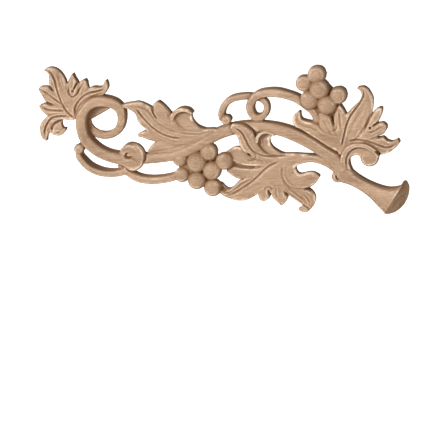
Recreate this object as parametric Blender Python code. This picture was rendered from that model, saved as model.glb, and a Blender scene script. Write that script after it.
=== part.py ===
"""Carved grape-vine scroll onlay: one piece of wood, flat on its glue face, carved in relief on its
front.

The front looks along -Y, +X runs to the right and +Z up. The glue face lies in the plane y = 0, and the
origin is on it, behind the middle of the vine. The carving is drawn on a sheet in millimetres, x to the
right and y down from the sheet's corner, with heights in front of the glue face; the driving sizes
below scale that drawing.
"""

import math

import bpy
import numpy as np

for start_up in list(bpy.data.objects):
    bpy.data.objects.remove(start_up)

# Driving sizes, in metres.
LENGTH = 0.368  # tip of the end leaf to the cut end of the vine
RELIEF = 0.0225  # glue face to the crown of the highest grape
VINE_DIAMETER = 0.012  # the vine where it is plain
TENDRIL_DIAMETER = 0.0068  # the thin tendrils where they are plain
GRAPE_DIAMETER = 0.018  # a full grape
VEIN_DEPTH = 0.0015  # grooves cut along the leaves

# The drawing sheet, in its own millimetres.
DRAWN_LENGTH = 368.0
DRAWN_RELIEF = 22.5
ORIGIN_X = 235.0
ORIGIN_Y = 128.5
LEAN = 0.044  # how much the drawing leans, taken out when it is carved
UNDERCUT = 128  # how far round from its crown a grape is carved free, in degrees
SPREAD = 1.7  # how much wider than drawn a groove is cut, to suit the coarse faces

# How finely the carving is cut.
CUT_SIZE = 0.0009  # cell of the voxel remesh that joins the forms
STEP_ALONG = 1.6  # sheet millimetres between the sections of a form
ACROSS = np.linspace(-1, 1, 13)  # places across a form, from its first edge to its second
FACE_COUNT = 8600  # triangles left by the Decimate modifier
BURIED = 0.003  # how far the forms run on behind the glue face before they are cut off

PLAN = LENGTH / DRAWN_LENGTH
RISE = RELIEF / DRAWN_RELIEF
VINE = VINE_DIAMETER / 2 / PLAN
TENDRIL = TENDRIL_DIAMETER / 2 / PLAN
GRAPE = GRAPE_DIAMETER / 2 / PLAN


def smooth_rows(rows, step=STEP_ALONG, count=None):
    """Rows along a smooth curve through the given rows, which are x, y and any further columns."""
    rows = np.array(rows, float)
    reach = np.r_[0, np.cumsum(np.hypot(*np.diff(rows[:, :2], axis=0).T))]
    slope = np.gradient(rows, reach, axis=0)
    samples = np.linspace(0, reach[-1], count or max(3, int(reach[-1] / step) + 1))
    found = np.clip(np.searchsorted(reach, samples, side="right") - 1, 0, len(rows) - 2)
    span = (reach[found + 1] - reach[found])[:, None]
    t = (samples - reach[found])[:, None] / span
    ends = (2 * t**3 - 3 * t**2 + 1) * rows[found] + (3 * t**2 - 2 * t**3) * rows[found + 1]
    turns = (t**3 - 2 * t**2 + t) * slope[found] + (t**3 - t**2) * slope[found + 1]
    return ends + turns * span


def falls(*depths):
    """A section given by its falls below the crest, at even places from the first edge to the second."""
    places = np.linspace(-1, 1, len(depths))
    return np.interp(ACROSS, places, depths)


FOLDED = falls(3.2, 1.3, 0.4, 0, 0.5, 0, 0.4, 1.3, 3.2)  # two rounded halves beside a vein
CROWNED = falls(3.4, 1.3, 0.4, 0.1, 0, 0.1, 0.4, 1.3, 3.4)  # gently rounded
DISHED = falls(2.6, 1.5, 1.7, 2.1, 2.1, 1.6, 0.6, 0, 2.4)  # hollowed, its second edge raised
RIDGED = falls(2.6, 0.3, 0.2, 1, 1.6, 1.8, 1.9, 2.3, 3.4)  # a ridge near its first edge
LEANING = falls(0.2, 0.6, 1, 1.2, 1.3, 1.4, 1.6, 2.1, 3.4)  # leaning down to its second edge
SLOPED = falls(0, 1.5, 3.5, 5.5, 7.5, 9.5, 11.5, 13.5, 15.5)  # a flat cut end, tilted
ROUNDED = falls(9.5, 3.8, 1.5, 0.4, 0, 0.4, 1.5, 3.8, 9.5)  # as a round stem


class Carving:
    """The closed forms that are joined into the carving, and the grooves cut into it."""

    def __init__(self):
        self.points = []
        self.faces = []
        self.grooves = []

    def add(self, points, faces):
        start = len(self.points)
        self.points.extend(points)
        self.faces.extend([tuple(start + corner for corner in face) for face in faces])

    def grid(self, x, y, height):
        """A form whose front is a grid of heights, with upright sides and a flat back."""
        rows, columns = x.shape
        count = rows * columns
        height = np.maximum(height, 1.0)
        x = (x - ORIGIN_X - LEAN * (y - ORIGIN_Y)) * PLAN
        front = np.c_[x.ravel(), (-height * RISE).ravel(), ((ORIGIN_Y - y) * PLAN).ravel()]
        back = np.c_[front[:, 0], np.full(count, BURIED), front[:, 2]]
        index = np.arange(count).reshape(rows, columns)
        quads = np.stack([index[:-1, :-1], index[:-1, 1:], index[1:, 1:], index[1:, :-1]], -1).reshape(-1, 4)
        rim = np.r_[index[0, :], index[1:, -1], index[-1, -2::-1], index[-2:0:-1, 0]]
        after = np.roll(rim, -1)
        walls = np.stack([after, rim, rim + count, after + count], -1)
        self.add(np.r_[front, back].tolist(), np.r_[quads, quads[:, ::-1] + count, walls].tolist())

    def lobe(self, first, second, heights, section=FOLDED):
        """A leaf lobe between two edges drawn from root to tip, with its crest's heights on the way."""
        long = max(np.hypot(*np.diff(np.array(edge, float), axis=0).T).sum() for edge in (first, second))
        count = max(4, int(long / STEP_ALONG) + 1)
        first, second = smooth_rows(first, count=count), smooth_rows(second, count=count)
        share = (ACROSS[None, :] + 1) / 2
        x = first[:, :1] * (1 - share) + second[:, :1] * share
        y = first[:, 1:] * (1 - share) + second[:, 1:] * share
        crest = np.interp(np.linspace(0, 1, count), np.linspace(0, 1, len(heights)), heights)[:, None]
        width = np.linalg.norm(first - second, axis=1)[:, None]
        shallow = np.clip(width / 12, 0.12, 1)  # a narrow tip takes less of the section's depth
        self.grid(x, y, crest - section[None, :] * shallow)

    def bar(self, rows, radius):
        """A round stem. Each row is x, y, height of its crown, and its girth as a share of the radius."""
        rows = smooth_rows(rows)
        along = np.gradient(rows[:, :2], axis=0)
        along /= np.linalg.norm(along, axis=1)[:, None]
        half = np.maximum(rows[:, 3:4] * radius, 0.4)
        across = np.sin(ACROSS * math.pi / 2)[None, :]
        x = rows[:, :1] - along[:, 1:] * across * half
        y = rows[:, 1:2] + along[:, :1] * across * half
        self.grid(x, y, rows[:, 2:3] - half * (1 - np.sqrt(np.clip(1 - across**2, 0, 1))))

    def dome(self, x, y, height, radius, fall=None, squash=1.0, sides=28, rings=9):
        """A round form: a grape, or a knob whose section is its falls from the middle to the rim."""
        turn = np.linspace(0, 2 * math.pi, sides + 1)
        slope = np.linspace(0.001, math.radians(90 if fall else UNDERCUT), rings + 1)[:, None]
        share, drop = np.sin(slope), radius * (1 - np.cos(slope))
        if fall is not None:
            drop = np.interp(share, np.linspace(0, 1, len(fall)), fall)
        px = x + radius * share * np.cos(turn)[None, :]
        py = y + radius * squash * share * np.sin(turn)[None, :]
        self.grid(px, py, height - drop * np.ones_like(px))

    def web(self, outline, height):
        """A low floor of wood between other forms."""
        points = []
        for x, y in outline:
            across = (x - ORIGIN_X - LEAN * (y - ORIGIN_Y)) * PLAN
            points.append((across, -height * RISE, (ORIGIN_Y - y) * PLAN))
        count = len(points)
        points += [(x, BURIED, z) for x, y, z in points]
        sides = [((k + 1) % count, k, k + count, (k + 1) % count + count) for k in range(count)]
        self.add(points, [tuple(range(count)), tuple(range(2 * count - 1, count - 1, -1))] + sides)

    def groove(self, line, depth=1.0, width=0.85):
        """A groove along a line, its depth as a share of the veins' depth; it fades out at its ends."""
        self.grooves.append((smooth_rows(line, 0.8), depth, width * SPREAD))


carving = Carving()

# The vine: from the flared stub at the right, under the leaves, round the ring at the left and back under
# itself.
vine = [
    (345, 170, 15, 1.1),
    (338, 162.5, 15, 1.2),
    (330, 155, 15, 1.22),
    (320, 148, 15, 1.17),
    (300, 136.8, 15, 1.1),
    (280, 129.4, 14.5, 1.03),
    (262, 126.5, 13, 1),
    (235, 128.5, 12.5, 1),
    (222, 132.5, 13, 1),
    (210, 138.5, 14, 0.97),
    (195, 147.5, 13.5, 0.92),
    (180, 153.5, 13.5, 0.92),
    (165, 156.3, 13.5, 0.88),
    (150, 158, 12.2, 0.9),
    (138, 158.8, 10.5, 0.9),
]
ring = [
    (137.5, 162, 15.2, 0.5),
    (130, 160.6, 15.8, 0.82),
    (120, 158.5, 15.5, 1),
    (110, 156.2, 14.5, 0.98),
    (100, 151.7, 14.5, 1),
    (92, 145, 15, 1),
    (87, 137, 15.5, 1),
    (84, 128, 16, 1),
    (83.5, 120, 16.5, 1),
    (84.5, 112, 17, 1),
    (88, 105.5, 17, 1),
    (94, 101.2, 17, 0.95),
    (102, 99.8, 16.5, 0.9),
    (110, 100.8, 15.5, 0.88),
    (117, 104.5, 14, 0.84),
    (121, 110, 13, 0.78),
    (122, 117, 11.5, 0.73),
    (120.5, 124.5, 10, 0.7),
    (116, 131, 8.5, 0.67),
    (109.5, 134.9, 7.5, 0.65),
    (103, 135.4, 6.5, 0.66),
    (97, 134.2, 6, 0.64),
    (91, 131, 5.5, 0.58),
    (86, 126.4, 5, 0.5),
]
carving.bar(vine, VINE)
carving.bar(ring, VINE)
carving.lobe(
    [
        (338, 152), (346, 161), (352.6, 169.4), (360, 175.4), (370, 181.2),
        (380, 185.2), (390, 187), (398.6, 185.6), (404.4, 182.8),
    ],
    [
        (326, 160), (332, 168.5), (336, 176), (341, 181.8), (350, 184.8),
        (360, 189.7), (370, 196.5), (380, 206), (386.4, 211.6),
    ],
    (12, 13.4, 14.4, 15, 15.6, 16.4, 17.8, 19.6, 21.5),
    ROUNDED,
)
carving.lobe(
    [(403.6, 181), (400.8, 187), (397.2, 193), (393.6, 198.8), (390.2, 204.4), (386, 212.2)],
    [
        (406.8, 181.4), (409.6, 187), (409.2, 194), (407, 200.4), (402.8, 206.6), (396.6, 211.4),
        (390, 213.8),
    ],
    (9, 16, 20.4, 21.6, 21.4, 19.4, 12),
    SLOPED,
)
carving.dome(339.6, 175.6, 12.8, 6.4, (0, 0.3, 0.9, 2.2, 5))
carving.groove([(337.8, 173), (338.8, 176.4), (341.2, 180)], 1.8, 0.9)
carving.web(
    [
        (86, 118), (90.2, 119.8), (91.6, 124.4), (94.6, 128), (99, 130.6), (104, 131.4), (98, 138),
        (86, 132),
    ],
    4.5,
)
carving.lobe(
    [(84, 118), (88, 110), (98, 104), (112, 104.4)],
    [(90.2, 120), (96, 117), (103, 113), (111.6, 107.4)],
    (2.5, 3, 4.5, 7.5),
    CROWNED,
)

# The knob where the vine's two thin tendrils spring from it.
carving.dome(133, 156, 13.6, 13.2, (2.6, 2, 1.2, 0.6, 0.3, 0.2, 1, 3.5), 1.07)
carving.bar(
    [
        (122.5, 152.5, 13, 0.42),
        (124.6, 147.4, 14.2, 0.5),
        (129.6, 144.6, 15, 0.56),
        (136, 146, 15.6, 0.6),
        (140.6, 151.6, 15.6, 0.6),
        (142.6, 158.6, 15.2, 0.58),
        (140.4, 165, 14.2, 0.55),
        (135, 168.4, 13, 0.45),
    ],
    VINE,
)
carving.groove([(130.5, 150), (126.2, 151.6), (125, 155), (129, 155.6)], 1.3, 1.5)

# The tendrils, all round bars; two of them end in a ball.
left_tendril = [
    (80, 147.6, 12, 0.9),
    (79.4, 154.2, 13.5, 0.95),
    (84, 160.4, 15, 0.97),
    (89, 165.3, 16, 0.97),
    (95, 168.9, 16, 0.98),
    (101, 171.3, 15.5, 1),
    (109, 172.6, 14.5, 1),
    (116.6, 172.7, 13.5, 1.02),
    (124.4, 171.2, 12.5, 1.05),
    (131, 167.5, 11.5, 1.1),
]
right_tendril = [
    (120, 163.5, 9, 1),
    (127, 171.3, 10, 1),
    (133, 175.8, 10.5, 1),
    (140, 179, 11, 1),
    (148, 180.4, 11, 1),
    (156, 180.6, 11, 1),
    (165, 179.4, 11, 1),
    (175, 176.8, 11, 1.02),
    (184, 172, 10, 1.05),
]
arch_tendril = [
    (315, 126, 11, 1.3),
    (315.8, 120.5, 11.5, 1.33),
    (313, 113, 12, 1.35),
    (306.5, 105.3, 12.5, 1.35),
    (298, 98.8, 13, 1.35),
    (288, 94.8, 13, 1.3),
    (278.8, 92.3, 13, 1.3),
    (269.2, 92.2, 13, 1.25),
    (261.2, 93.8, 13, 1.2),
    (254.7, 98.3, 12.5, 1.07),
    (251.2, 105, 12, 1),
    (252.5, 112, 11.5, 0.97),
    (257, 116.8, 11, 0.95),
    (262.7, 117, 10.5, 0.95),
    (267.2, 114, 10, 0.95),
    (269.2, 108.5, 9.5, 0.95),
    (267.2, 102.5, 9, 0.97),
    (262.2, 98.8, 8, 0.97),
    (256.2, 97, 8, 0.97),
    (250.2, 96.2, 8.5, 1),
    (242.2, 96.6, 9.5, 1),
    (235.2, 98, 10, 1),
    (229.2, 101.5, 10, 1),
    (225, 107, 10, 1),
    (223.2, 114, 10, 1),
    (224.5, 119.5, 10, 0.95),
]
carving.bar(left_tendril, TENDRIL)
carving.dome(80.8, 147.1, 13.5, 4.6)
carving.bar(right_tendril, TENDRIL)
carving.bar(arch_tendril, TENDRIL)
carving.dome(229, 119, 12, 4.6)

# Two bunches of grapes: x, y, height of the crown and size as a share of a full grape.
upper_grapes = [
    (318.5, 73.8, 18.5, 1.04),
    (305.8, 82.3, 17.5, 0.94),
    (321.5, 87.6, 22.5, 1.1),
    (339.8, 94.2, 18.5, 1),
    (311.5, 98.6, 20, 1.06),
    (329, 103.4, 20.5, 1.08),
]
lower_grapes = [
    (209.8, 152.6, 17.5, 0.96),
    (180.8, 159, 14.5, 0.82),
    (196.2, 162.8, 20.5, 1.09),
    (212, 170, 19.5, 1.04),
    (225, 160.6, 17.5, 0.96),
    (182.8, 174.6, 14.5, 0.84),
    (196.8, 179.8, 18, 1.01),
    (213.2, 187.4, 16.5, 1),
]
for x, y, height, size in upper_grapes + lower_grapes:
    carving.dome(x, y, height, size * GRAPE)
carving.web([(305, 82.5), (317.5, 73.5), (339, 94.5), (328, 106), (310.5, 101)], 9)
carving.web([(180, 158), (209, 150), (226, 161), (212, 190), (195, 182), (181, 177)], 8)

# The end leaf, at the upper left of the ring.
carving.lobe(
    [
        (62, 108), (56, 97), (53.6, 89.7), (50, 84.5), (49.5, 80), (49.5, 76), (49, 73), (46.7, 70.5),
        (44.4, 69.6),
    ],
    [
        (80, 106), (74, 97), (70, 89), (68, 84), (67, 79.6), (65, 75.2), (61, 70), (56, 66.6),
        (51.7, 65.7), (47, 66.6), (44.4, 68.8),
    ],
    (10.5, 12, 13, 13, 12.5, 12, 10, 8),
)
carving.lobe(
    [(68, 102), (66, 92), (67, 84), (69.5, 79), (72.3, 73.8), (73.4, 72.2)],
    [(80, 102), (81, 94), (81, 86), (79.4, 81), (76.5, 77), (73.8, 72.4)],
    (10.5, 11.5, 12, 11.5, 9.5),
)
carving.lobe(
    [(76, 104), (77, 95), (79, 86), (80.6, 81), (83, 78.9), (85.5, 78.2)],
    [(88, 104), (90, 94), (90, 88), (89.2, 83.5), (88.3, 80.4), (86.5, 78.4)],
    (10, 11, 11.5, 11.5, 10.5),
)
carving.lobe(
    [(72, 102), (82, 92), (88, 87.6), (93.5, 85), (100, 85.4), (104.2, 84.6), (105, 82), (106.6, 79.2)],
    [
        (80, 114), (86, 104), (92, 98), (98, 95.5), (104.5, 94), (108, 91), (109.7, 87.5), (109.8, 84.3),
        (107.8, 79.4),
    ],
    (10.5, 11, 11.5, 12, 12.2, 12, 10.5, 9),
)
carving.lobe(
    [(66, 100), (58, 92), (52, 88), (49, 85.3), (44, 84.7), (40.7, 85.2), (39, 87)],
    [(64, 108), (57, 105), (50.6, 103), (46, 100.8), (42.3, 95.3), (40.2, 91.5), (38.6, 88)],
    (10.5, 11, 11, 10.5, 9),
)
carving.lobe(
    [(68, 104), (58, 103), (50.6, 103.2), (46, 101.8), (43, 102.2), (39.6, 104)],
    [(68, 114), (58, 115), (50, 115), (46.5, 114.2), (42.3, 110.7), (39, 105)],
    (10.5, 11, 11, 10.5, 9),
)
carving.lobe(
    [
        (68, 110), (56, 111.5), (47.5, 114.8), (43.8, 118.4), (40.5, 122.8), (39.2, 128), (40.5, 134.4),
        (42.6, 138.3), (45.4, 140.4),
    ],
    [
        (70, 119), (62, 118.5), (56, 121), (53, 124.5), (51.8, 128), (50.6, 131), (48.4, 134), (47, 137),
        (46.4, 140.4),
    ],
    (10.5, 12, 12.8, 12.8, 12, 11, 10, 8),
)
carving.lobe(
    [(50.5, 126), (53.4, 130), (57.4, 131.6), (61, 130.4), (63.2, 127.4), (65.4, 127.2)],
    [(50, 131.4), (53.6, 133.6), (58.4, 135), (62.4, 133.8), (65, 131.4), (66.2, 128.6)],
    (11, 11, 10.5, 10, 9),
    CROWNED,
)
carving.dome(58.6, 126.4, 11.2, 7.2, (0.6, 0.3, 0.1, 0.3, 1.4, 4))
carving.dome(71, 107, 11, 12.5, (0, 0.2, 0.8, 2.5))
carving.groove(
    [
        (75.6, 118), (70.4, 113), (65.8, 107.6), (61, 96), (58.2, 87), (55.4, 77.4), (51.7, 71.6),
        (47, 68.8),
    ],
    1.5,
)
carving.groove([(66, 92), (61.5, 82), (59, 72)], 0.8, 1.1)
carving.groove([(76, 115), (76.4, 106), (82, 97.4), (90.4, 91.4), (99, 89.6), (106, 87.6)], 1.5)
carving.groove([(80, 110), (88, 99), (99, 93), (106.6, 91)], 0.7, 1)
carving.groove([(69, 115), (59.9, 114.6), (53.3, 116), (47.3, 123.4), (45, 130), (45.4, 136)], 1.4)
carving.groove([(52, 130), (52.4, 126.4), (56, 122.6), (61, 120.4), (65, 119.4)], 1.5, 0.9)
carving.groove([(66, 105), (56, 98), (48, 92), (42, 88.5)], 1.1)
carving.groove([(66, 109.5), (56, 109), (48, 108), (42, 105.5)], 1.1)
carving.groove([(79.4, 80), (76.8, 84.6), (74.4, 89.4)], 2.2, 0.8)
carving.groove([(74.6, 89), (73.8, 90.4)], 3.2, 1)
carving.groove([(70.4, 84), (70.4, 91.4), (73.6, 95.6), (77.8, 93), (81, 87.4), (84.6, 82.6)], 1.3, 0.8)
carving.groove([(49.6, 84.6), (54.5, 90)], 2, 0.9)
carving.groove([(45, 100.6), (53, 103.8)], 2, 0.9)

# The middle leaf, over the vine to the right of the ring.
carving.lobe(
    [
        (224, 129), (214, 127), (203, 126.8), (196, 124.4), (188, 121), (178, 116),
        (168, 113), (158, 109), (149.5, 103.4), (140, 100), (130.3, 101.3), (122.9, 103.4),
    ],
    [
        (225, 131), (214, 135.4), (203, 139.4), (190, 144), (180, 145), (170, 142),
        (158, 136), (146, 128), (139, 121.5), (135, 112.5), (129.6, 108.8), (122.9, 105.6),
    ],
    (11, 13.4, 14.2, 14.6, 14.6, 14.4, 14.2, 13.6, 12.5, 11),
)
carving.lobe(
    [(170, 128), (161, 119), (157, 112), (154.6, 104.9), (156.5, 101.6), (159.3, 100.2)],
    [(182, 124), (177, 117), (173.5, 111.8), (169, 106.6), (164.5, 102.6), (160.6, 100.3)],
    (13.8, 13.6, 13, 12, 10.5),
    CROWNED,
)
carving.lobe(
    [(168, 128), (171.5, 120), (175, 113), (178, 108.6)],
    [(203, 129), (195.4, 123.6), (192, 117.6), (192, 110.6)],
    (14.4, 12.8, 11, 10.2, 10),
    LEANING,
)
carving.lobe(
    [
        (171, 119), (173.4, 113), (178.6, 107.7), (183, 106.1), (188.8, 106.4), (192.6, 108.2),
        (195.2, 111.6),
    ],
    [(176, 120), (177.4, 115), (181, 111.2), (185.4, 110), (189.6, 110.6), (192.4, 112.2), (194.6, 113)],
    (13.6, 14.6, 15.2, 15.4, 15, 14, 12.4),
    CROWNED,
)
carving.lobe(
    [(164, 124), (153, 126), (146.4, 128.8), (141.4, 131.2), (137.8, 133.8)],
    [(170, 140), (158, 141), (150, 139.6), (143.6, 137), (138, 136)],
    (12.6, 12.2, 11.5, 10.5, 9),
    CROWNED,
)
carving.lobe(
    [(176, 131), (165, 135), (157, 140.8), (152.8, 144.7), (150.4, 147.8), (149.4, 150.4)],
    [(190, 144), (178, 148.4), (169, 150.8), (160, 152.4), (154, 153), (149.8, 152)],
    (12.8, 12.6, 12, 11.2, 9.8),
    CROWNED,
)
carving.bar(
    [(160, 149.6, 11, 0.7), (172, 147.6, 11.8, 1), (186, 143.4, 12.6, 1.1), (200, 137, 13, 1)],
    VINE,
)
carving.groove(
    [(138.4, 107), (144, 114), (150, 120.6), (157, 127), (165, 132), (174, 135), (184, 136.6)],
    1.4,
)
carving.groove(
    [(134, 104.5), (146, 106.5), (152.4, 111), (156.6, 117), (163, 123), (172, 127.6), (182, 130.4)],
    0.8,
    1.1,
)
carving.groove([(183, 130.4), (193.7, 132), (204, 131.8), (212, 129.4)], 0.8)
carving.groove([(153.8, 105), (156, 112), (160.4, 118.6)], 1.8, 0.9)
carving.groove([(170, 111), (172.4, 118), (173.4, 124)], 0.6, 1.3)
carving.groove([(151, 151.2), (163, 149.4), (176, 147), (188, 142)], 0.6, 1.2)

# The lower leaf, on its stalk from the stub; one lobe lies over the vine.
carving.bar(
    [
        (340, 169, 12.5, 1),
        (330, 162.5, 12.5, 0.85),
        (320, 158.9, 12.5, 0.68),
        (312, 157.8, 12.8, 0.62),
        (302, 158.4, 13, 0.72),
        (292, 160.4, 13.4, 0.9),
        (284, 164.4, 13.8, 1.1),
    ],
    VINE,
)
carving.lobe(
    [
        (290, 154), (277, 152), (268, 147.4), (262.5, 140.6), (257.8, 133.2),
        (252, 127), (246, 123.2), (240, 121.8), (234, 121.5),
    ],
    [
        (276, 163), (263, 160), (253, 156.4), (246.6, 149.8), (242, 144.4),
        (240.2, 138.6), (238, 133.8), (234, 130.4), (231.8, 126),
    ],
    (12.8, 13.4, 14.6, 15.8, 16.8, 17.2, 16.8, 15),
)
carving.lobe(
    [(262, 158), (259, 150), (258.4, 142), (259.4, 136), (262, 131.6)],
    [(292, 156), (279, 151.4), (272.6, 145.8), (270.4, 140.8), (273, 134.4)],
    (13.4, 12.6, 11.4, 10.4, 10),
    LEANING,
)
carving.lobe(
    [
        (256.6, 141), (257.4, 135), (260.6, 131.2), (265.4, 128.9), (270.4, 129.2), (274, 131.4),
        (276.6, 134.6),
    ],
    [
        (259.6, 141), (260.6, 136.4), (263, 133.2), (266.6, 131.8), (270, 132.4), (272.8, 134.4),
        (275.8, 135.6),
    ],
    (16, 16.4, 16, 15.4, 14.8, 13.8, 12.4),
    CROWNED,
)
carving.lobe(
    [(268, 152), (257, 152), (248.6, 149.6), (242, 146.4), (236.6, 146.2), (231, 149.8), (226.6, 153.8)],
    [(272, 166), (262.8, 165.4), (254, 166), (246, 165.4), (238.4, 163), (231.7, 159.4), (226.6, 155.2)],
    (12.6, 13.2, 13.2, 12.6, 11.6, 10.4, 9.5),
    DISHED,
)
carving.lobe(
    [(270, 164.5), (256, 165.4), (244, 165.8), (236, 166), (231, 167.4), (229.2, 170)],
    [(272, 176), (261, 177.6), (251, 179), (242.6, 179.8), (235.5, 177), (229.4, 171.8)],
    (12.4, 11.8, 11, 10.4, 9),
    CROWNED,
)
carving.lobe(
    [
        (274, 165), (262, 172.6), (252, 178), (246, 179.8), (241, 181),
        (237, 185.4), (231, 188.8), (227.4, 186.8), (225.4, 184.8), (223, 183.4),
    ],
    [
        (284, 180), (270, 187.5), (259.4, 193.4), (254, 197.6), (247.6, 200.9),
        (239.6, 201.1), (231.4, 199), (222.2, 193.5), (220.6, 189), (221.8, 184),
    ],
    (12.8, 13.4, 13.4, 12.8, 12, 11.2, 10, 8.5),
)
carving.lobe(
    [(270, 174), (262, 184), (259.2, 192.6), (259.8, 196.4), (261.4, 199.3), (263.4, 200.2)],
    [(279, 177), (273.6, 186), (271.6, 193), (270.8, 196), (268.4, 198.5), (265.2, 200.2)],
    (13.2, 12.6, 11.8, 10.8, 9.5),
    CROWNED,
)
carving.lobe(
    [(274, 174), (271.6, 186), (271.8, 192), (273, 196.4), (276, 199.6), (279.5, 202.6), (281.6, 204.2)],
    [
        (290, 176), (290, 186), (289.4, 193.4), (288.6, 197.4), (286.6, 200.6), (284.6, 203),
        (282.6, 204.2),
    ],
    (13.2, 12.6, 11.8, 10.8, 9.5),
)
carving.lobe(
    [
        (276, 164), (278, 176), (283.4, 186.6), (289.6, 194.2), (296, 199.3),
        (301.6, 202.4), (303, 204.4), (301.2, 206.4), (298.9, 207.6),
    ],
    [
        (296, 162), (294, 172), (298, 181), (304, 185.6), (311, 188.4), (315.4, 193.6),
        (316.4, 199), (313, 206.2), (306.5, 211.6), (302, 210.8), (299, 208.6),
    ],
    (13.4, 13.4, 12.8, 12.2, 11.4, 10.6, 9.8, 8.6),
)
carving.lobe(
    [
        (297.4, 160.6), (296.8, 166), (297.8, 170.4), (300.5, 172.5), (304, 172.2),
        (308.4, 170.9), (313.4, 171), (317, 172.8), (319.4, 175.2),
    ],
    [
        (279, 162), (279.6, 170), (283.4, 178.4), (290, 184.6), (298, 187.6),
        (305.6, 187.2), (312.2, 185), (317, 181.2), (319.8, 176.6),
    ],
    (13.6, 14.4, 15, 15, 14.4, 13.2, 11.6, 10),
    DISHED,
)
carving.lobe(
    [(318, 154.4), (304, 153.4), (292, 153), (280, 154), (268, 158), (257, 166), (248, 177), (243, 185)],
    [
        (318, 161.6), (306, 161.8), (298, 164.6), (293, 173), (286, 182), (275, 186), (263, 187),
        (254, 191),
    ],
    (12.4, 12.6, 13, 13.4, 13.4, 13.2, 12.4, 11),
    falls(1.6, 0.6, 0.2, 0, 0, 0, 0.2, 0.6, 1.6),
)
carving.groove(
    [
        (237, 125.5), (243, 129.5), (247.6, 137), (251.6, 144.4), (257, 150), (265, 153.8), (276, 155.2),
        (288, 154.8),
    ],
    1.2,
)
carving.groove([(243.5, 121.6), (249, 124.2), (254, 128.4), (257.8, 132.8)], 1.8, 0.9)
carving.groove([(248.8, 151.2), (252.2, 154)], 3, 0.9)
carving.groove([(256.8, 150), (257.8, 154), (255.6, 157.4), (251.4, 158.6), (247.4, 157)], 0.6, 0.9)
carving.groove([(234, 164.4), (243, 166.8), (253, 167.2), (264, 165.2)], 1, 0.9)
carving.groove(
    [(280, 160), (271, 164), (265, 169), (259, 176), (253, 182), (246, 187.4), (238, 192.4), (229, 196)],
    1.2,
    0.9,
)
carving.groove([(256, 178), (246, 182.6), (239, 188), (231, 193), (224, 192)], 0.9, 0.9)
carving.groove([(269.4, 188), (270, 192), (271.8, 195.8)], 2.6, 0.8)
carving.groove([(266.2, 191), (266.6, 187), (269.6, 185), (273.2, 186.8), (274.6, 191)], 0.6, 0.8)
carving.groove([(277, 185), (277, 193), (280, 200)], 0.9, 1.2)
carving.groove([(285.4, 190), (289, 195.4)], 2.2, 0.9)
carving.groove(
    [(284, 164), (283.2, 172), (285.6, 180), (290.6, 187), (298, 193), (304.6, 198.6), (309, 205)],
    1.4,
    0.9,
)
carving.groove(
    [(289.4, 162.6), (287.4, 169), (288.6, 176), (293, 182), (299, 186), (305.4, 188)],
    0.9,
    1,
)
carving.groove([(291, 192.6), (299, 198.2), (305.6, 202.6)], 1.1, 0.9)
carving.groove([(303.4, 191.6), (308.6, 197), (311.6, 204)], 0.9, 0.9)
carving.groove([(302.6, 203), (306.4, 205), (310.8, 209)], 1.3, 0.9)
carving.groove([(304.6, 187.8), (308.4, 187.4), (312.6, 189.8)], 1.8, 0.9)

# The right leaf, fanned out above the stub, with its foot rolled over.
carving.lobe(
    [
        (346, 134), (334, 131.4), (326, 129), (320, 124), (313.5, 121.2),
        (307.2, 120.1), (302.5, 118.8), (300.6, 116), (300.2, 113.2), (299.6, 111.4),
    ],
    [
        (344, 153), (333, 147.6), (321, 140.8), (310, 134.8), (302, 130.4),
        (296, 127.4), (292.6, 123.8), (291.8, 119), (293.5, 115), (298.2, 111.4),
    ],
    (13.5, 15, 15.6, 15.6, 15.2, 14, 12.5, 10),
    RIDGED,
)
carving.lobe(
    [(328, 142), (322, 131), (319.8, 122), (319.6, 116.4), (320.4, 113), (322.8, 111)],
    [(345, 138), (339, 130), (335.4, 124), (333.4, 118), (330, 113.6), (325, 111.2)],
    (13.6, 14.6, 14.8, 14, 12),
    CROWNED,
)
carving.lobe(
    [(336, 140), (335.4, 128), (335.4, 119), (336.2, 112), (338.4, 107), (340.4, 104.2)],
    [(354, 138), (353, 126), (350.8, 118), (347.6, 112.2), (344, 107), (341.4, 104.2)],
    (13.6, 14.6, 14.6, 13.6, 11.8),
)
carving.web([(316, 106), (338, 103), (343, 118), (334, 130), (320, 128)], 9)
carving.lobe(
    [
        (338, 148), (341, 135), (343.5, 124), (347.5, 113.8), (352, 108), (356.5, 104),
        (359.6, 101), (361.5, 97), (362, 93), (360.4, 90), (357.9, 88.6),
    ],
    [
        (357, 146), (360, 135), (366, 125), (371.6, 116), (374, 108), (374.4, 102),
        (373.7, 97), (371.5, 92.4), (368.2, 88), (364.3, 86), (358, 87),
    ],
    (13.8, 15.4, 15.6, 15.2, 14.6, 13.4, 11.8, 9.4),
)
carving.lobe(
    [(358, 138), (365, 127), (371, 117), (374, 111), (377.2, 107.8), (380.2, 106.8)],
    [(368, 140), (374.4, 130), (378.8, 121.6), (381.4, 116.6), (383, 112), (382.8, 107.6)],
    (14.6, 14.2, 13.4, 12.4, 11),
    CROWNED,
)
carving.lobe(
    [(354, 138), (363, 132.4), (371.4, 127), (378.6, 121.8), (384, 121.4), (387.2, 124.6)],
    [(358, 147), (366, 142), (374, 137.8), (379.4, 135.2), (383.8, 133.4), (387.2, 129)],
    (14.6, 14.4, 13.6, 12.4, 11),
    CROWNED,
)
carving.lobe(
    [
        (350, 138), (362, 136.4), (372, 136.4), (379, 136), (383.8, 135.4), (388, 139), (392, 140.2),
        (398, 138),
    ],
    [
        (350, 150), (360, 147), (370, 149), (376, 152.2), (382.3, 154.2), (388, 152.6), (395, 148),
        (400.4, 142),
    ],
    (13.5, 14, 13.6, 12.8, 12, 11, 9.8),
    RIDGED,
)
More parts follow.
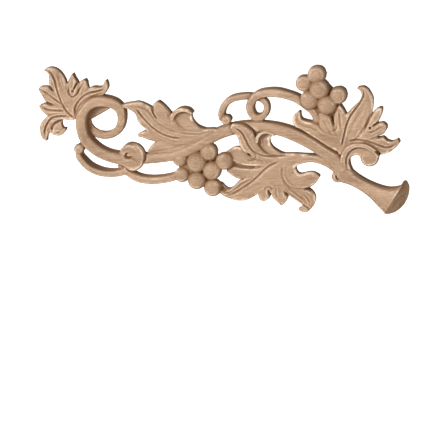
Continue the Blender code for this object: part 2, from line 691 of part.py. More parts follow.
carving.lobe(
    [
        (342, 174), (341.4, 163), (343.4, 152), (348.4, 144.8), (357, 141),
        (366, 141.6), (373.6, 145.6), (378.2, 150.4), (380, 156),
    ],
    [
        (351, 172), (348.4, 164.4), (348, 157), (351, 150.8), (357, 146.8),
        (364.6, 147), (370.6, 149.8), (375, 153.4), (377.4, 157),
    ],
    (13.5, 14.6, 15.6, 16.4, 16.8, 16.6, 16, 15.2, 14),
    CROWNED,
)
carving.lobe(
    [(345, 172), (345, 161), (348, 151), (355, 146), (364, 145), (372, 148.4), (378, 153)],
    [
        (354, 171), (351.2, 165), (350.4, 160.6), (352.4, 156.4), (356, 154.6), (359.8, 155.1),
        (361.8, 158.4),
    ],
    (12.6, 13.2, 13.6, 13.6, 13.4, 13.2, 13),
    falls(0, 0, 0, 0, 0, 0.1, 0.3, 0.9, 2.6),
)
carving.dome(370.6, 156.6, 14.4, 9.2, (0, 0.1, 0.2, 0.3, 0.6, 1.3, 3.6))
carving.dome(346, 148, 14, 8, (0, 0.1, 0.4, 1.2, 3))
carving.groove(
    [(296, 127.8), (303, 131), (312, 135.8), (322, 141.6), (332, 147.4), (341, 153.4)],
    1.5,
    0.9,
)
carving.groove([(297, 116), (298.6, 121.6), (304, 125), (312, 127), (321, 130.6)], 0.8, 1.1)
carving.groove([(325, 117), (328.6, 125), (335, 134)], 0.7, 1.1)
carving.groove([(340.6, 110), (341.6, 118), (343, 128)], 0.9)
carving.groove(
    [
        (343, 145.6), (346, 134), (348.6, 123), (351.8, 115), (356.6, 108), (361, 101.6), (364.2, 95),
        (364, 89.6),
    ],
    1.5,
)
carving.groove([(352, 126), (358, 117), (363.6, 108.6), (367.6, 99)], 0.6, 1.3)
carving.groove([(373.6, 110.6), (369, 120), (365.6, 129.6)], 1, 1)
carving.groove([(349.5, 139.4), (360, 137.8), (370, 140), (380, 144.6), (388, 146.6), (396, 143.6)], 1.3)
carving.groove([(333.2, 113), (334.2, 119), (336.4, 125)], 2.2, 0.8)
carving.groove([(338.8, 123), (337.4, 127.8), (333.4, 129.6)], 0.8, 0.9)
carving.groove([(370.6, 127.2), (372.4, 126)], 3.2, 1)
carving.groove([(373.4, 125.4), (380, 120.4)], 2.4, 0.8)
carving.groove([(368.4, 129.4), (371.6, 130.6), (376.4, 129.2), (381, 126.4), (385.4, 125.6)], 0.9, 0.8)
carving.groove([(378.4, 136.8), (384.6, 133.8)], 2.6, 0.8)
carving.groove([(376.2, 149.4), (380.8, 154.4)], 2.8, 0.8)
carving.groove(
    [(348.4, 166), (348, 157), (351, 150.8), (357, 146.8), (364.6, 147), (371, 149.8)],
    0.7,
    0.8,
)


def groove_depths(x, y):
    """How deep the grooves cut at each place on the sheet, in sheet millimetres."""
    deepest = np.zeros(len(x))
    for line, share, width in carving.grooves:
        near = (x > line[:, 0].min() - 6) & (x < line[:, 0].max() + 6)
        near &= (y > line[:, 1].min() - 6) & (y < line[:, 1].max() + 6)
        places = np.nonzero(near)[0]
        if len(places) == 0:
            continue
        apart = np.hypot(x[places, None] - line[None, :, 0], y[places, None] - line[None, :, 1])
        nearest = apart.argmin(axis=1)
        fade = np.clip(np.minimum(nearest, len(line) - 1 - nearest) / min(5, len(line) / 4), 0.15, 1)
        depth = share * fade * np.exp(-((apart.min(axis=1) / width) ** 2))
        deepest[places] = np.maximum(deepest[places], depth)
    return deepest * VEIN_DEPTH / RISE


def evaluated_mesh(made):
    """The object's mesh as its modifiers leave it."""
    return bpy.data.meshes.new_from_object(made.evaluated_get(bpy.context.evaluated_depsgraph_get()))


# Join the forms, cut the grooves, ease the surface, thin out the faces and cut the back off flat.
mesh = bpy.data.meshes.new("scroll_onlay")
mesh.from_pydata(carving.points, [], carving.faces)
onlay = bpy.data.objects.new("scroll_onlay", mesh)
bpy.context.scene.collection.objects.link(onlay)
wood = bpy.data.materials.new("bare wood")
wood.use_nodes = True
surface = wood.node_tree.nodes["Principled BSDF"]
surface.inputs["Base Color"].default_value = (0.52, 0.35, 0.23, 1)
surface.inputs["Roughness"].default_value = 0.6
surface.inputs["Metallic"].default_value = 0
mesh.materials.append(wood)
remesh = onlay.modifiers.new("joined", "REMESH")
remesh.mode = "VOXEL"
remesh.voxel_size = CUT_SIZE
onlay.data = evaluated_mesh(onlay)
onlay.modifiers.clear()

place = np.empty(len(onlay.data.vertices) * 3)
onlay.data.vertices.foreach_get("co", place)
place = place.reshape(-1, 3)
normal = np.empty(len(place) * 3)
onlay.data.vertices.foreach_get("normal", normal)
facing = np.clip(-normal.reshape(-1, 3)[:, 1] * 2, 0, 1)
sheet_y = ORIGIN_Y - place[:, 2] / PLAN
sheet_x = place[:, 0] / PLAN + ORIGIN_X + LEAN * (sheet_y - ORIGIN_Y)
place[:, 1] += groove_depths(sheet_x, sheet_y) * RISE * facing
onlay.data.vertices.foreach_set("co", place.ravel())
onlay.data.shade_smooth()
onlay.data.set_sharp_from_angle(angle=math.radians(40))

ease = onlay.modifiers.new("eased", "SMOOTH")
ease.factor = 0.5
ease.iterations = 2
thin = onlay.modifiers.new("thinned", "DECIMATE")
thin.ratio = FACE_COUNT / (2 * len(onlay.data.polygons))

wide, deep = LENGTH * 1.2, BURIED * 2
corners = [(x, y, z) for x in (-wide, wide) for y in (0, deep) for z in (-wide, wide)]
sides = [(0, 1, 3, 2), (4, 6, 7, 5), (0, 4, 5, 1), (2, 3, 7, 6), (0, 2, 6, 4), (1, 5, 7, 3)]
cutter_mesh = bpy.data.meshes.new("glue_face_cutter")
cutter_mesh.from_pydata(corners, [], sides)
cutter = bpy.data.objects.new("glue_face_cutter", cutter_mesh)
cutter.hide_render = True
cutter.display_type = "WIRE"
bpy.context.scene.collection.objects.link(cutter)
cut = onlay.modifiers.new("glue face", "BOOLEAN")
cut.operation = "DIFFERENCE"
cut.solver = "EXACT"
cut.object = cutter
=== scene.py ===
"""A carved grape-vine scroll onlay in bare pale wood, as it looks: fine carving, wood and studio."""

import math

import bpy
import numpy as np
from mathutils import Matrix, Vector


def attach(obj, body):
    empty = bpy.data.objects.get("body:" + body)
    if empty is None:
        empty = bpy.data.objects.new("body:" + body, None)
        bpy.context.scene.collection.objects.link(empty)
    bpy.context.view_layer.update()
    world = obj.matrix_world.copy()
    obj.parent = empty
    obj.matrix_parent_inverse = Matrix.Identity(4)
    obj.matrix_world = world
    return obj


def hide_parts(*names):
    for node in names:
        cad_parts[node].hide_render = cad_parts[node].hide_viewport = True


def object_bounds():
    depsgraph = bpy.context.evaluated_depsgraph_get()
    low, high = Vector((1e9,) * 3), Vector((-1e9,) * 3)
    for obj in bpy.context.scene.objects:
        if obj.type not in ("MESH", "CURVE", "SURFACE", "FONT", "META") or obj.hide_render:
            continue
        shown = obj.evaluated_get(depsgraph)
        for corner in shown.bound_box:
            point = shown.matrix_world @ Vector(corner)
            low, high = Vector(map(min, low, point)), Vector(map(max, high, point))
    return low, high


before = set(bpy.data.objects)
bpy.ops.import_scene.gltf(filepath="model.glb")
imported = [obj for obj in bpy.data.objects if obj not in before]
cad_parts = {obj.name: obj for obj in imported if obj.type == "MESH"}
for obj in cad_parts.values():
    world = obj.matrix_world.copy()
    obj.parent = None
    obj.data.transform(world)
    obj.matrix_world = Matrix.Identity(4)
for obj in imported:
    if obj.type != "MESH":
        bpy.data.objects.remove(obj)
cad_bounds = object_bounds()

# The view. The camera looks at the carved front from a little to the right and above, through a long lens.
# It is turned until the onlay lies where the photograph has it.
PHOTO = 430  # the side of the square photograph, in pixels
MIDDLE_X, MIDDLE_Y = 224.3, 140.7  # where the onlay's middle is in it
CAMERA_AZIMUTH, CAMERA_ELEVATION = math.radians(12), math.radians(12)
CAMERA_DISTANCE = 3.2
SENSOR_WIDTH = 36
FRAME_WIDTH = 0.4215  # how much of the onlay's own plane the frame takes in, side to side

low, high = Vector(cad_bounds[0]), Vector(cad_bounds[1])
middle = (low + high) / 2
toward_camera = Vector(
    (
        math.sin(CAMERA_AZIMUTH) * math.cos(CAMERA_ELEVATION),
        -math.cos(CAMERA_AZIMUTH) * math.cos(CAMERA_ELEVATION),
        math.sin(CAMERA_ELEVATION),
    )
)
camera = bpy.data.objects.new("camera", bpy.data.cameras.new("camera"))
bpy.context.scene.collection.objects.link(camera)
bpy.context.scene.camera = camera
camera.data.sensor_width = SENSOR_WIDTH
camera.data.lens = SENSOR_WIDTH * CAMERA_DISTANCE / FRAME_WIDTH
camera.location = middle + toward_camera * CAMERA_DISTANCE
camera.rotation_euler = (-toward_camera).to_track_quat("-Z", "Y").to_euler()
sideways = math.atan((MIDDLE_X / PHOTO - 0.5) * FRAME_WIDTH / CAMERA_DISTANCE)
upwards = math.atan((0.5 - MIDDLE_Y / PHOTO) * FRAME_WIDTH / CAMERA_DISTANCE)
camera.rotation_euler.rotate_axis("Y", sideways)
camera.rotation_euler.rotate_axis("X", -upwards)
roll = math.atan(math.tan(CAMERA_AZIMUTH) * math.sin(CAMERA_ELEVATION))  # keeps the onlay's length level
camera.rotation_euler.rotate_axis("Z", -roll)

# The studio. Three soft square panels light the wood: the key from the upper left, a weaker one from the
# right, and one behind for the glue face. A dim warm room fills the shadows.
ROOM_COLOUR, ROOM_STRENGTH = (1, 0.94, 0.87, 1), 0.2


def panel(name, place, size, strength):
    """A square soft light at a place, turned to the onlay."""
    light = bpy.data.objects.new(name, bpy.data.lights.new(name, "AREA"))
    light.data.shape = "SQUARE"
    light.data.size = size
    light.data.energy = strength
    light.location = middle + Vector(place)
    light.rotation_euler = (-Vector(place)).to_track_quat("-Z", "Y").to_euler()
    bpy.context.scene.collection.objects.link(light)


panel("key panel", (-1.05, -2.0, 0.9), 0.5, 43)
panel("fill panel", (1.3, -1.9, 0.5), 1.2, 12)
panel("back panel", (-2.2, 1.8, 0.8), 0.8, 50)

world = bpy.data.worlds.new("studio")
world.use_nodes = True
world.node_tree.nodes["Background"].inputs["Color"].default_value = ROOM_COLOUR
world.node_tree.nodes["Background"].inputs["Strength"].default_value = ROOM_STRENGTH
bpy.context.scene.world = world
bpy.context.scene.view_settings.view_transform = "Standard"
bpy.context.scene.view_settings.look = "None"

# The backdrop: a plain pale floor in two stretches, and a bright screen behind it. All three glow a
# little, and only the front stretch throws its glow on the wood.
PALE, PALE_ROUGHNESS = (0.86, 0.86, 0.85, 1), 0.9
FLOOR = low.z - 0.32
FLOOR_SIDE, FLOOR_FRONT, FLOOR_SPLIT = 5, -5, 0.25
SCREEN_SIDE, SCREEN_TOP, SCREEN_BACK = 2.5, 1.2, 3


def backdrop(name, corners, glow, lights=False):
    """A flat pale sheet of the studio, with a glow of its own."""
    sheet = bpy.data.meshes.new(name)
    sheet.from_pydata(corners, [], [(0, 1, 2, 3)])
    pale = bpy.data.materials.new(name + " white")
    pale.use_nodes = True
    surface = pale.node_tree.nodes["Principled BSDF"]
    surface.inputs["Base Color"].default_value = PALE
    surface.inputs["Roughness"].default_value = PALE_ROUGHNESS
    surface.inputs["Emission Color"].default_value = (1, 1, 1, 1)
    surface.inputs["Emission Strength"].default_value = glow
    sheet.materials.append(pale)
    made = bpy.data.objects.new(name, sheet)
    bpy.context.scene.collection.objects.link(made)
    made.visible_glossy = False
    made.visible_diffuse = lights


def corners_between(side, front, back, top=FLOOR):
    """The corners of a sheet, from side to side and from its front edge on the floor to its back edge."""
    return [(-side, front, FLOOR), (side, front, FLOOR), (side, back, top), (-side, back, top)]


backdrop("front floor", corners_between(FLOOR_SIDE, FLOOR_FRONT, FLOOR_SPLIT), 0.3, True)
backdrop("back floor", corners_between(FLOOR_SIDE, FLOOR_SPLIT, SCREEN_BACK), 0.8)
backdrop("screen", corners_between(SCREEN_SIDE, SCREEN_BACK, SCREEN_BACK, SCREEN_TOP), 0.95)


# The onlay: one piece of pale hardwood, sawn to its outline, carved in relief and glued on by its flat back.
# Its stems, lobes and grapes are closed forms that are joined, cut with veins and sanded soft. They are
# drawn on a sheet in millimetres, x to the right and y down, with heights in front of the glue face.
ORIGIN_X, ORIGIN_Y = 235.0, 128.5
DRAWN_LENGTH = 367.9
MILLIMETRE = (high.x - low.x) / DRAWN_LENGTH
LEAN = 0.044  # how much the drawing leans, because the photograph is taken from the right and above
STEP_ALONG, GROOVE_STEP = 0.6, 0.5  # between two rows of a form, and two places of a groove
ACROSS = np.linspace(-1, 1, 33)  # the places across a form
BURIED = 0.003  # how far a form runs on behind the glue face before the back is planed, in metres
LOWEST = 1.0  # the least height of a form
THINNEST = 0.4  # the least radius of a stem
FULLY_FOLDED, LEAST_FOLD = 12, 0.12  # a lobe narrower than this is folded less, down to the least share
UNDERCUT = 0.18  # how far a lobe's two edges lean in, together, as a share of its height
MOST_UNDERCUT = 0.22  # and the most that they lean in, as a share of its width
KNOB_UNDERCUT = 0.16  # how far a knob's sides lean in, as a share of its radius
ROUNDED = 128  # how far round from its crown a ball is carved free, in degrees


def smooth_rows(rows, step=STEP_ALONG, count=None):
    """Rows along a smooth curve through the given rows, which are x, y and any further columns."""
    rows = np.array(rows, float)
    reach = np.r_[0, np.cumsum(np.hypot(*np.diff(rows[:, :2], axis=0).T))]
    slope = np.gradient(rows, reach, axis=0)
    samples = np.linspace(0, reach[-1], count or max(3, int(reach[-1] / step) + 1))
    found = np.clip(np.searchsorted(reach, samples, side="right") - 1, 0, len(rows) - 2)
    span = (reach[found + 1] - reach[found])[:, None]
    t = (samples - reach[found])[:, None] / span
    ends = (2 * t**3 - 3 * t**2 + 1) * rows[found] + (3 * t**2 - 2 * t**3) * rows[found + 1]
    turns = (t**3 - 2 * t**2 + t) * slope[found] + (t**3 - t**2) * slope[found + 1]
    return ends + turns * span


def falls(*depths):
    """A section given by its falls below the crest, at even places from the first edge to the second."""
    places = np.linspace(-1, 1, len(depths))
    return smooth_rows(np.c_[places, np.zeros(len(depths)), depths], count=len(ACROSS))[:, 2]


def straight(x, y):
    """How far right of the origin a place on the sheet is, with the drawing's lean taken out."""
    return x - ORIGIN_X - LEAN * (y - ORIGIN_Y)


FOLDED = falls(3.2, 1.3, 0.4, 0, 0.5, 0, 0.4, 1.3, 3.2)  # two rounded halves beside a vein
CROWNED = falls(3.4, 1.3, 0.4, 0.1, 0, 0.1, 0.4, 1.3, 3.4)  # gently rounded


class Carving:
    """The closed forms that are joined into the carving, and the grooves cut into it."""

    def __init__(self):
        self.points = []
        self.faces = []
        self.grooves = []

    def add(self, points, faces):
        start = len(self.points)
        self.points.extend(points)
        self.faces.extend([tuple(start + corner for corner in face) for face in faces])

    def grid(self, x, y, height, under=0, middle_x=0, middle_y=0):
        """A form whose front is a grid of heights; its flat back is drawn in to its middle by a share."""
        rows, columns = x.shape
        count = rows * columns
        height = np.maximum(height, LOWEST)
        back_x, back_y = x + (middle_x - x) * under, y + (middle_y - y) * under
        front = np.c_[straight(x, y).ravel(), -height.ravel(), (ORIGIN_Y - y).ravel()] * MILLIMETRE
        back_x = straight(back_x, back_y)
        back = np.c_[back_x.ravel(), np.zeros(count), (ORIGIN_Y - back_y).ravel()] * MILLIMETRE
        back[:, 1] = BURIED
        index = np.arange(count).reshape(rows, columns)
        quads = np.stack([index[:-1, :-1], index[:-1, 1:], index[1:, 1:], index[1:, :-1]], -1).reshape(-1, 4)
        rim = np.r_[index[0, :], index[1:, -1], index[-1, -2::-1], index[-2:0:-1, 0]]
        after = np.roll(rim, -1)
        walls = np.stack([after, rim, rim + count, after + count], -1)
        self.add(np.r_[front, back].tolist(), np.r_[quads, quads[:, ::-1] + count, walls].tolist())

    def lobe(self, first, second, heights, section=FOLDED):
        """A leaf lobe between two edges drawn from root to tip, with its crest's heights on the way."""
        long = max(np.hypot(*np.diff(np.array(edge, float), axis=0).T).sum() for edge in (first, second))
        count = max(4, int(long / STEP_ALONG) + 1)
        first, second = smooth_rows(first, count=count), smooth_rows(second, count=count)
        share = (ACROSS[None, :] + 1) / 2
        x = first[:, :1] * (1 - share) + second[:, :1] * share
        y = first[:, 1:] * (1 - share) + second[:, 1:] * share
        crest = np.interp(np.linspace(0, 1, count), np.linspace(0, 1, len(heights)), heights)[:, None]
        width = np.linalg.norm(first - second, axis=1)[:, None]
        shallow = np.clip(width / FULLY_FOLDED, LEAST_FOLD, 1)
        under = np.clip(UNDERCUT * crest / width, 0, MOST_UNDERCUT)
        centre = (first + second) / 2
        self.grid(x, y, crest - section[None, :] * shallow, under, centre[:, :1], centre[:, 1:])

    def bar(self, rows, radius):
        """A round stem. Each row is x, y, height of its crown, and its girth as a share of the radius."""
        rows = smooth_rows(rows)
        along = np.gradient(rows[:, :2], axis=0)
        along /= np.linalg.norm(along, axis=1)[:, None]
        half = np.maximum(rows[:, 3:4] * radius, THINNEST)
        across = np.sin(ACROSS * math.pi / 2)[None, :]
        x = rows[:, :1] - along[:, 1:] * across * half
        y = rows[:, 1:2] + along[:, :1] * across * half
        self.grid(x, y, rows[:, 2:3] - half * (1 - np.sqrt(np.clip(1 - across**2, 0, 1))))

    def dome(self, x, y, height, radius, fall=None, squash=1.0, sides=72, rings=24):
        """A round form: a ball, or a knob whose section is given by its falls from the middle to the rim."""
        turn = np.linspace(0, 2 * math.pi, sides + 1)
        slope = np.linspace(0.001, math.radians(90 if fall else ROUNDED), rings + 1)[:, None]
        share, drop = np.sin(slope), radius * (1 - np.cos(slope))
        if fall is not None:
            even = smooth_rows(np.c_[np.linspace(0, 1, len(fall)), np.zeros(len(fall)), fall], count=60)
            drop = np.interp(share, even[:, 0], even[:, 2])
        px = x + radius * share * np.cos(turn)[None, :]
        py = y + radius * squash * share * np.sin(turn)[None, :]
        self.grid(px, py, height - drop * np.ones_like(px), KNOB_UNDERCUT if fall else 0, x, y)

    def web(self, outline, height):
        """A low floor of wood between other forms."""
        points = [(straight(x, y), -height, ORIGIN_Y - y) for x, y in outline]
        points = (np.array(points) * MILLIMETRE).tolist()
        count = len(points)
        points += [(x, BURIED, z) for x, y, z in points]
        sides = [((k + 1) % count, k, k + count, (k + 1) % count + count) for k in range(count)]
        self.add(points, [tuple(range(count)), tuple(range(2 * count - 1, count - 1, -1))] + sides)

    def groove(self, line, depth=1.0, width=0.85):
        """A groove along a line, its depth as a share of the veins' depth; it fades out at its ends."""
        self.grooves.append((smooth_rows(line, GROOVE_STEP), depth, width))


carving = Carving()

# The vine: a round stem of wood, from the flared stub at the lower right, under the leaves and over to the
# left, where it rolls into a ring and sinks back under itself. The stub is sawn off, and its sawn face is
# carved with a swirl.
VINE = 6.0  # the radius of a full stem
STUBBY = falls(4.6, 1.4, 0.5, 0.1, 0, 0.2, 1, 2.8, 6.5)  # round, and lower at its second edge
SLOPED = falls(0, 1.5, 3.5, 5.5, 7.5, 9.5, 11.5, 13.5, 15.5)  # a flat sawn face, tilted
SWIRL_X, SWIRL_Y = 400.6, 201  # the middle of the swirl
SWIRL_SIZES = (2.4, 5, 7.8)
SWIRL_FLATTENED = 0.45
SAWN_LEFT, SAWN_DOWN = 0.53, 0.85  # which way the sawn face runs on the sheet

# A row is x, y, the height of the stem's crown, and its girth as a share of the full stem's.
vine = [
    (346, 169, 15, 1.08),
    (339, 161.5, 15, 1.15),
    (331, 154, 15, 1.16),
    (321, 147, 15, 1.1),
    (300.8, 136, 15, 1.04),
    (281, 128.8, 14.5, 0.98),
    (262, 126.5, 13, 1),
    (235, 128.5, 12.5, 1),
    (222, 132.5, 13, 1),
    (210, 138.5, 14, 0.97),
    (195, 147.5, 13.5, 0.92),
    (180, 153.5, 13.5, 0.92),
    (165, 156.3, 13.5, 0.88),
    (150, 158, 12.2, 0.9),
    (138, 158.8, 10.5, 0.9),
]
ring = [
    (142, 162.4, 14, 0.45),
    (136, 161.2, 15.8, 0.68),
    (129.4, 160, 16.2, 0.86),
    (120.4, 157.6, 16, 0.98),
    (110.4, 155.2, 15, 0.94),
    (100.2, 150.6, 15.4, 0.93),
    (92, 144.2, 15.8, 0.94),
    (86.2, 137, 16.2, 0.94),
    (83.3, 128, 17, 0.92),
    (82.8, 120, 17.4, 0.92),
    (84, 112, 17.6, 0.93),
    (87.6, 105.5, 17.6, 0.95),
    (94, 101.2, 17.2, 0.95),
    (102, 99.8, 16.5, 0.9),
    (110, 100.8, 15.5, 0.88),
    (117.8, 104.3, 14, 0.84),
    (122, 109.8, 13, 0.78),
    (123, 117, 11.5, 0.72),
    (121.5, 124.7, 10, 0.7),
    (116.8, 131.3, 8.5, 0.67),
    (109.5, 134.9, 7.5, 0.65),
    (103, 135.4, 6.5, 0.66),
    (97, 134.2, 6, 0.64),
    (91, 131, 5.5, 0.58),
    (86, 126.4, 5, 0.5),
]
carving.bar(vine, VINE)
carving.bar(ring, VINE)
carving.lobe(
    [
        (338.8, 150.6), (346.8, 159.6), (353.4, 168), (360.8, 174), (370.8, 179.8),
        (380.8, 183.8), (390.4, 186), (398.7, 185.2), (404.4, 182.8),
    ],
    [
        (326.9, 159.1), (332.9, 167.6), (336.9, 175.1), (341.9, 180.9), (350.9, 183.9),
        (360.9, 188.8), (370.9, 195.6), (380.9, 205.1), (387, 210.8),
    ],
    (12, 13.4, 14.4, 15, 15.6, 16.4, 17.8, 19.6, 21.5),
    STUBBY,
)
carving.lobe(
    [(403.6, 181), (400.8, 187), (397.2, 193), (393.6, 198.8), (390.2, 204.4), (386, 212.2)],
    [
        (406.8, 181.4), (409.6, 187), (409.2, 194), (407, 200.4), (402.8, 206.6), (396.6, 211.4),
        (390, 213.8),
    ],
    (9, 16, 20.4, 21.6, 21.4, 19.4, 12),
    SLOPED,
)
for size in SWIRL_SIZES:
    oval = []
    for degrees in range(0, 361, 30):
        turn = math.radians(degrees)
        along, across = size * math.cos(turn), size * SWIRL_FLATTENED * math.sin(turn)
        oval.append(
            (
                SWIRL_X - SAWN_LEFT * along + SAWN_DOWN * across,
                SWIRL_Y + SAWN_DOWN * along + SAWN_LEFT * across,
            )
        )
    carving.groove(oval, 0.9, 0.6)
carving.dome(339.6, 175.6, 12.8, 6.4, (0, 0.3, 0.9, 2.2, 5))
carving.groove([(337.8, 173), (338.8, 176.4), (341.2, 180)], 1.8, 0.9)
carving.web(
    [
        (86, 118), (90.2, 119.8), (91.6, 124.4), (94.6, 128), (99, 130.6), (104, 131.4), (98, 138),
        (86, 132),
    ],
    4.5,
)
carving.lobe(
    [(84, 118), (88, 110), (98, 104), (112, 104.4)],
    [(90.2, 120), (96, 117), (103, 113), (111.6, 107.4)],
    (2.5, 3, 4.5, 7.5),
    CROWNED,
)

# The knob: a round curl of the same wood on the vine, where two thin tendrils spring from it. Its face
# is nearly flat with a dimple, a thin roll runs round its upper half, and a groove parts it from the
# tendrils below.
carving.dome(134, 156, 14.2, 13.6, (1, 0.9, 0.6, 0.3, 0.1, 0.1, 0.8, 3.2), 1.07)
carving.bar(
    [
        (123.4, 153, 13.2, 0.3),
        (125.2, 148.2, 14.2, 0.36),
        (130.4, 145, 14.8, 0.4),
        (136.6, 146.4, 15, 0.42),
        (141.4, 151.2, 14.6, 0.4),
        (144, 157.4, 14, 0.32),
    ],
    VINE,
)
carving.groove([(131.6, 151.4), (128.6, 152.4), (128, 154.8), (130.4, 155.8), (135, 155.2)], 1.9, 0.9)
carving.groove([(146.8, 152), (147.4, 157), (145.6, 162)], 1.4, 0.9)
carving.groove([(121, 166), (127, 166.2), (130.6, 169.6), (136, 171.6), (141, 171.2)], 1.2, 0.9)

# The tendrils: three thin round stems, joined to the vine where they touch it. One runs left from the
# knob and ends in a ball, one runs right to the lower grapes, and one loops over the vine's arch and
# ends in a ball too.
TENDRIL = 3.4  # the radius of a full tendril
TENDRIL_BALL = 5.3

left_tendril = [
    (80.6, 147.6, 13, 0.85),
    (79.8, 154, 15, 0.86),
    (84.4, 160.2, 17, 0.88),
    (89.4, 165, 18, 0.9),
    (95.4, 168.6, 18, 0.92),
    (101.4, 170.9, 17.6, 0.94),
    (109, 172.4, 16.4, 0.96),
    (116.6, 172.6, 14.6, 1),
    (124.4, 171.2, 12.8, 1.05),
    (131, 167.5, 11.5, 1.1),
]
right_tendril = [
    (120, 163.5, 9, 1),
    (127.6, 170.8, 11, 1.08),
    (133.8, 175.2, 12, 1.14),
    (140.8, 178.2, 12.5, 1.16),
    (148.6, 179.6, 12.5, 1.16),
    (156.6, 179.8, 12.5, 1.16),
    (165.6, 178.8, 12.5, 1.14),
    (175.6, 176.4, 12.5, 1.1),
    (184, 172, 10, 1.05),
]
arch_tendril = [
    (315, 126, 11, 1.3),
    (318, 119.4, 11.5, 1.1),
    (315, 111.6, 12, 1.1),
    (307.4, 104.5, 12.5, 1.16),
    (298.6, 98.2, 13, 1.2),
    (288.4, 94.4, 13, 1.22),
    (278.8, 92.3, 13, 1.3),
    (269.2, 92.2, 13, 1.25),
    (261.2, 93.8, 13, 1.2),
    (255.2, 98.3, 12.5, 1.18),
    (252, 105, 12, 1.2),
    (253, 111.8, 11.5, 1.12),
    (257, 116.6, 11, 1.08),
    (262.7, 116.8, 10.5, 1.08),
    (266.6, 113.4, 10, 0.97),
    (268.4, 108, 9.5, 0.9),
    (267, 102.6, 9, 0.88),
    (262.2, 98.8, 8, 0.97),
    (256.2, 97, 8, 0.97),
    (250.2, 96.2, 8.5, 1),
    (242.2, 96.6, 9.5, 1),
    (235.2, 98, 10, 1),
    (229.2, 101.5, 10, 1),
    (225, 107, 10, 1),
    (223.2, 114, 10, 1),
    (224.5, 119.5, 10, 0.95),
]
carving.bar(left_tendril, TENDRIL)
carving.dome(80.2, 147.6, 16, TENDRIL_BALL)
carving.bar(right_tendril, TENDRIL)
carving.bar(arch_tendril, TENDRIL)
carving.dome(228.6, 118.8, 14, TENDRIL_BALL)

# The grapes: two bunches of balls, carved round and resting on a low floor of the same wood. A row is x,
# y, the height of the grape's crown, and its size as a share of a full grape.
GRAPE = 9.0  # the radius of a full grape

upper_grapes = [
    (318.5, 73.8, 18.5, 1.04),
    (305.8, 82.3, 17.5, 0.94),
    (321.5, 87.6, 22.5, 1.1),
    (339.8, 94.2, 18.5, 1),
    (311.5, 98.6, 20, 1.06),
    (329, 103.4, 20.5, 1.08),
]
lower_grapes = [
    (211.2, 151, 17.5, 1),
    (182, 158.4, 14.5, 0.84),
    (199.4, 160.9, 20.5, 1.13),
    (214.8, 169.4, 19.5, 1.05),
    (226.8, 160, 17.5, 1),
    (183.8, 174.4, 14.5, 0.86),
    (199.2, 179.4, 18, 1.02),
    (215, 187, 16.5, 1.01),
]
for x, y, height, size in upper_grapes + lower_grapes:
    carving.dome(x, y, height, size * GRAPE)
carving.web([(305, 82.5), (317.5, 73.5), (339, 94.5), (328, 106), (310.5, 101)], 9)
carving.web([(180, 158), (209, 150), (226, 161), (212, 190), (195, 182), (181, 177)], 8)

# The end leaf: a leaf of pointed lobes, fanned out at the upper left of the ring. It is the same wood as
# the vine, carved lower than it, with veins down its lobes, and its lowest lobe is curled over.
LEANING = falls(0.2, 0.6, 1, 1.2, 1.3, 1.4, 1.6, 2.1, 3.4)  # leaning down to its second edge

carving.lobe(
    [
        (62, 108), (56, 97), (53.6, 89.7), (50, 84.5), (49.5, 80), (49.5, 76), (49, 73), (46.7, 70.5),
        (44.4, 69.6),
    ],
    [
        (80, 106), (74, 97), (70, 89), (68, 84), (67, 79.6), (65, 75.2), (61, 70), (56, 66.6),
        (51.7, 65.7), (47, 66.6), (44.4, 68.8),
    ],
    (10.5, 12, 13, 13, 12.5, 12, 10, 8),
)
carving.lobe(
    [(68, 102), (66, 92), (67, 84), (69.5, 79), (72.3, 73.8), (73.4, 72.2)],
    [(80, 102), (81, 94), (81, 86), (79.4, 81), (76.5, 77), (73.8, 72.4)],
    (10.5, 11.5, 12, 11.5, 9.5),
)
carving.lobe(
    [(76, 104), (77, 95), (79, 86), (80.6, 81), (83, 78.9), (85.5, 78.2)],
    [(88, 104), (90, 94), (90, 88), (89.2, 83.5), (88.3, 80.4), (86.5, 78.4)],
    (10, 11, 11.5, 11.5, 10.5),
)
carving.lobe(
    [(72, 102), (82, 92), (88, 87.6), (93.5, 85), (100, 85.4), (104.2, 84.6), (105, 82), (106.6, 79.2)],
    [
        (80, 114), (86, 104), (92, 98), (98, 95.5), (104.5, 94), (108, 91), (109.7, 87.5), (109.8, 84.3),
        (107.8, 79.4),
    ],
    (10.5, 11, 11.5, 12, 12.2, 12, 10.5, 9),
)
carving.lobe(
    [(66, 100), (58, 92), (52, 88), (49, 85.3), (44, 84.7), (40.7, 85.2), (39, 87)],
    [(64, 108), (57, 105), (50.6, 103), (46, 100.8), (42.3, 95.3), (40.2, 91.5), (38.6, 88)],
    (10.5, 11, 11, 10.5, 9),
)
carving.lobe(
    [(68, 104), (58, 103), (50.6, 103.2), (46, 101.8), (43, 102.2), (39.6, 104)],
    [(68, 114), (58, 115), (50, 115), (46.5, 114.2), (42.3, 110.7), (39, 105)],
    (10.5, 11, 11, 10.5, 9),
)
carving.lobe(
    [
        (68, 110), (56, 111.5), (47.5, 114.8), (43.8, 118.4), (40.5, 122.8), (39.2, 128), (40.5, 134.4),
        (42.6, 138.3), (45.4, 140.4),
    ],
    [
        (70, 119), (62, 118.5), (56, 121), (53, 124.5), (51.8, 128), (50.6, 131), (48.4, 134), (47, 137),
        (46.4, 140.4),
    ],
    (10.5, 12, 12.8, 12.8, 12, 11, 10, 8),
)
carving.lobe(
    [(50.5, 126), (53.4, 130), (57.4, 131.6), (61, 130.4), (63.2, 127.4), (65.4, 127.2)],
    [(50, 131.4), (53.6, 133.6), (58.4, 135), (62.4, 133.8), (65, 131.4), (66.2, 128.6)],
    (11, 11, 10.5, 10, 9),
    CROWNED,
)
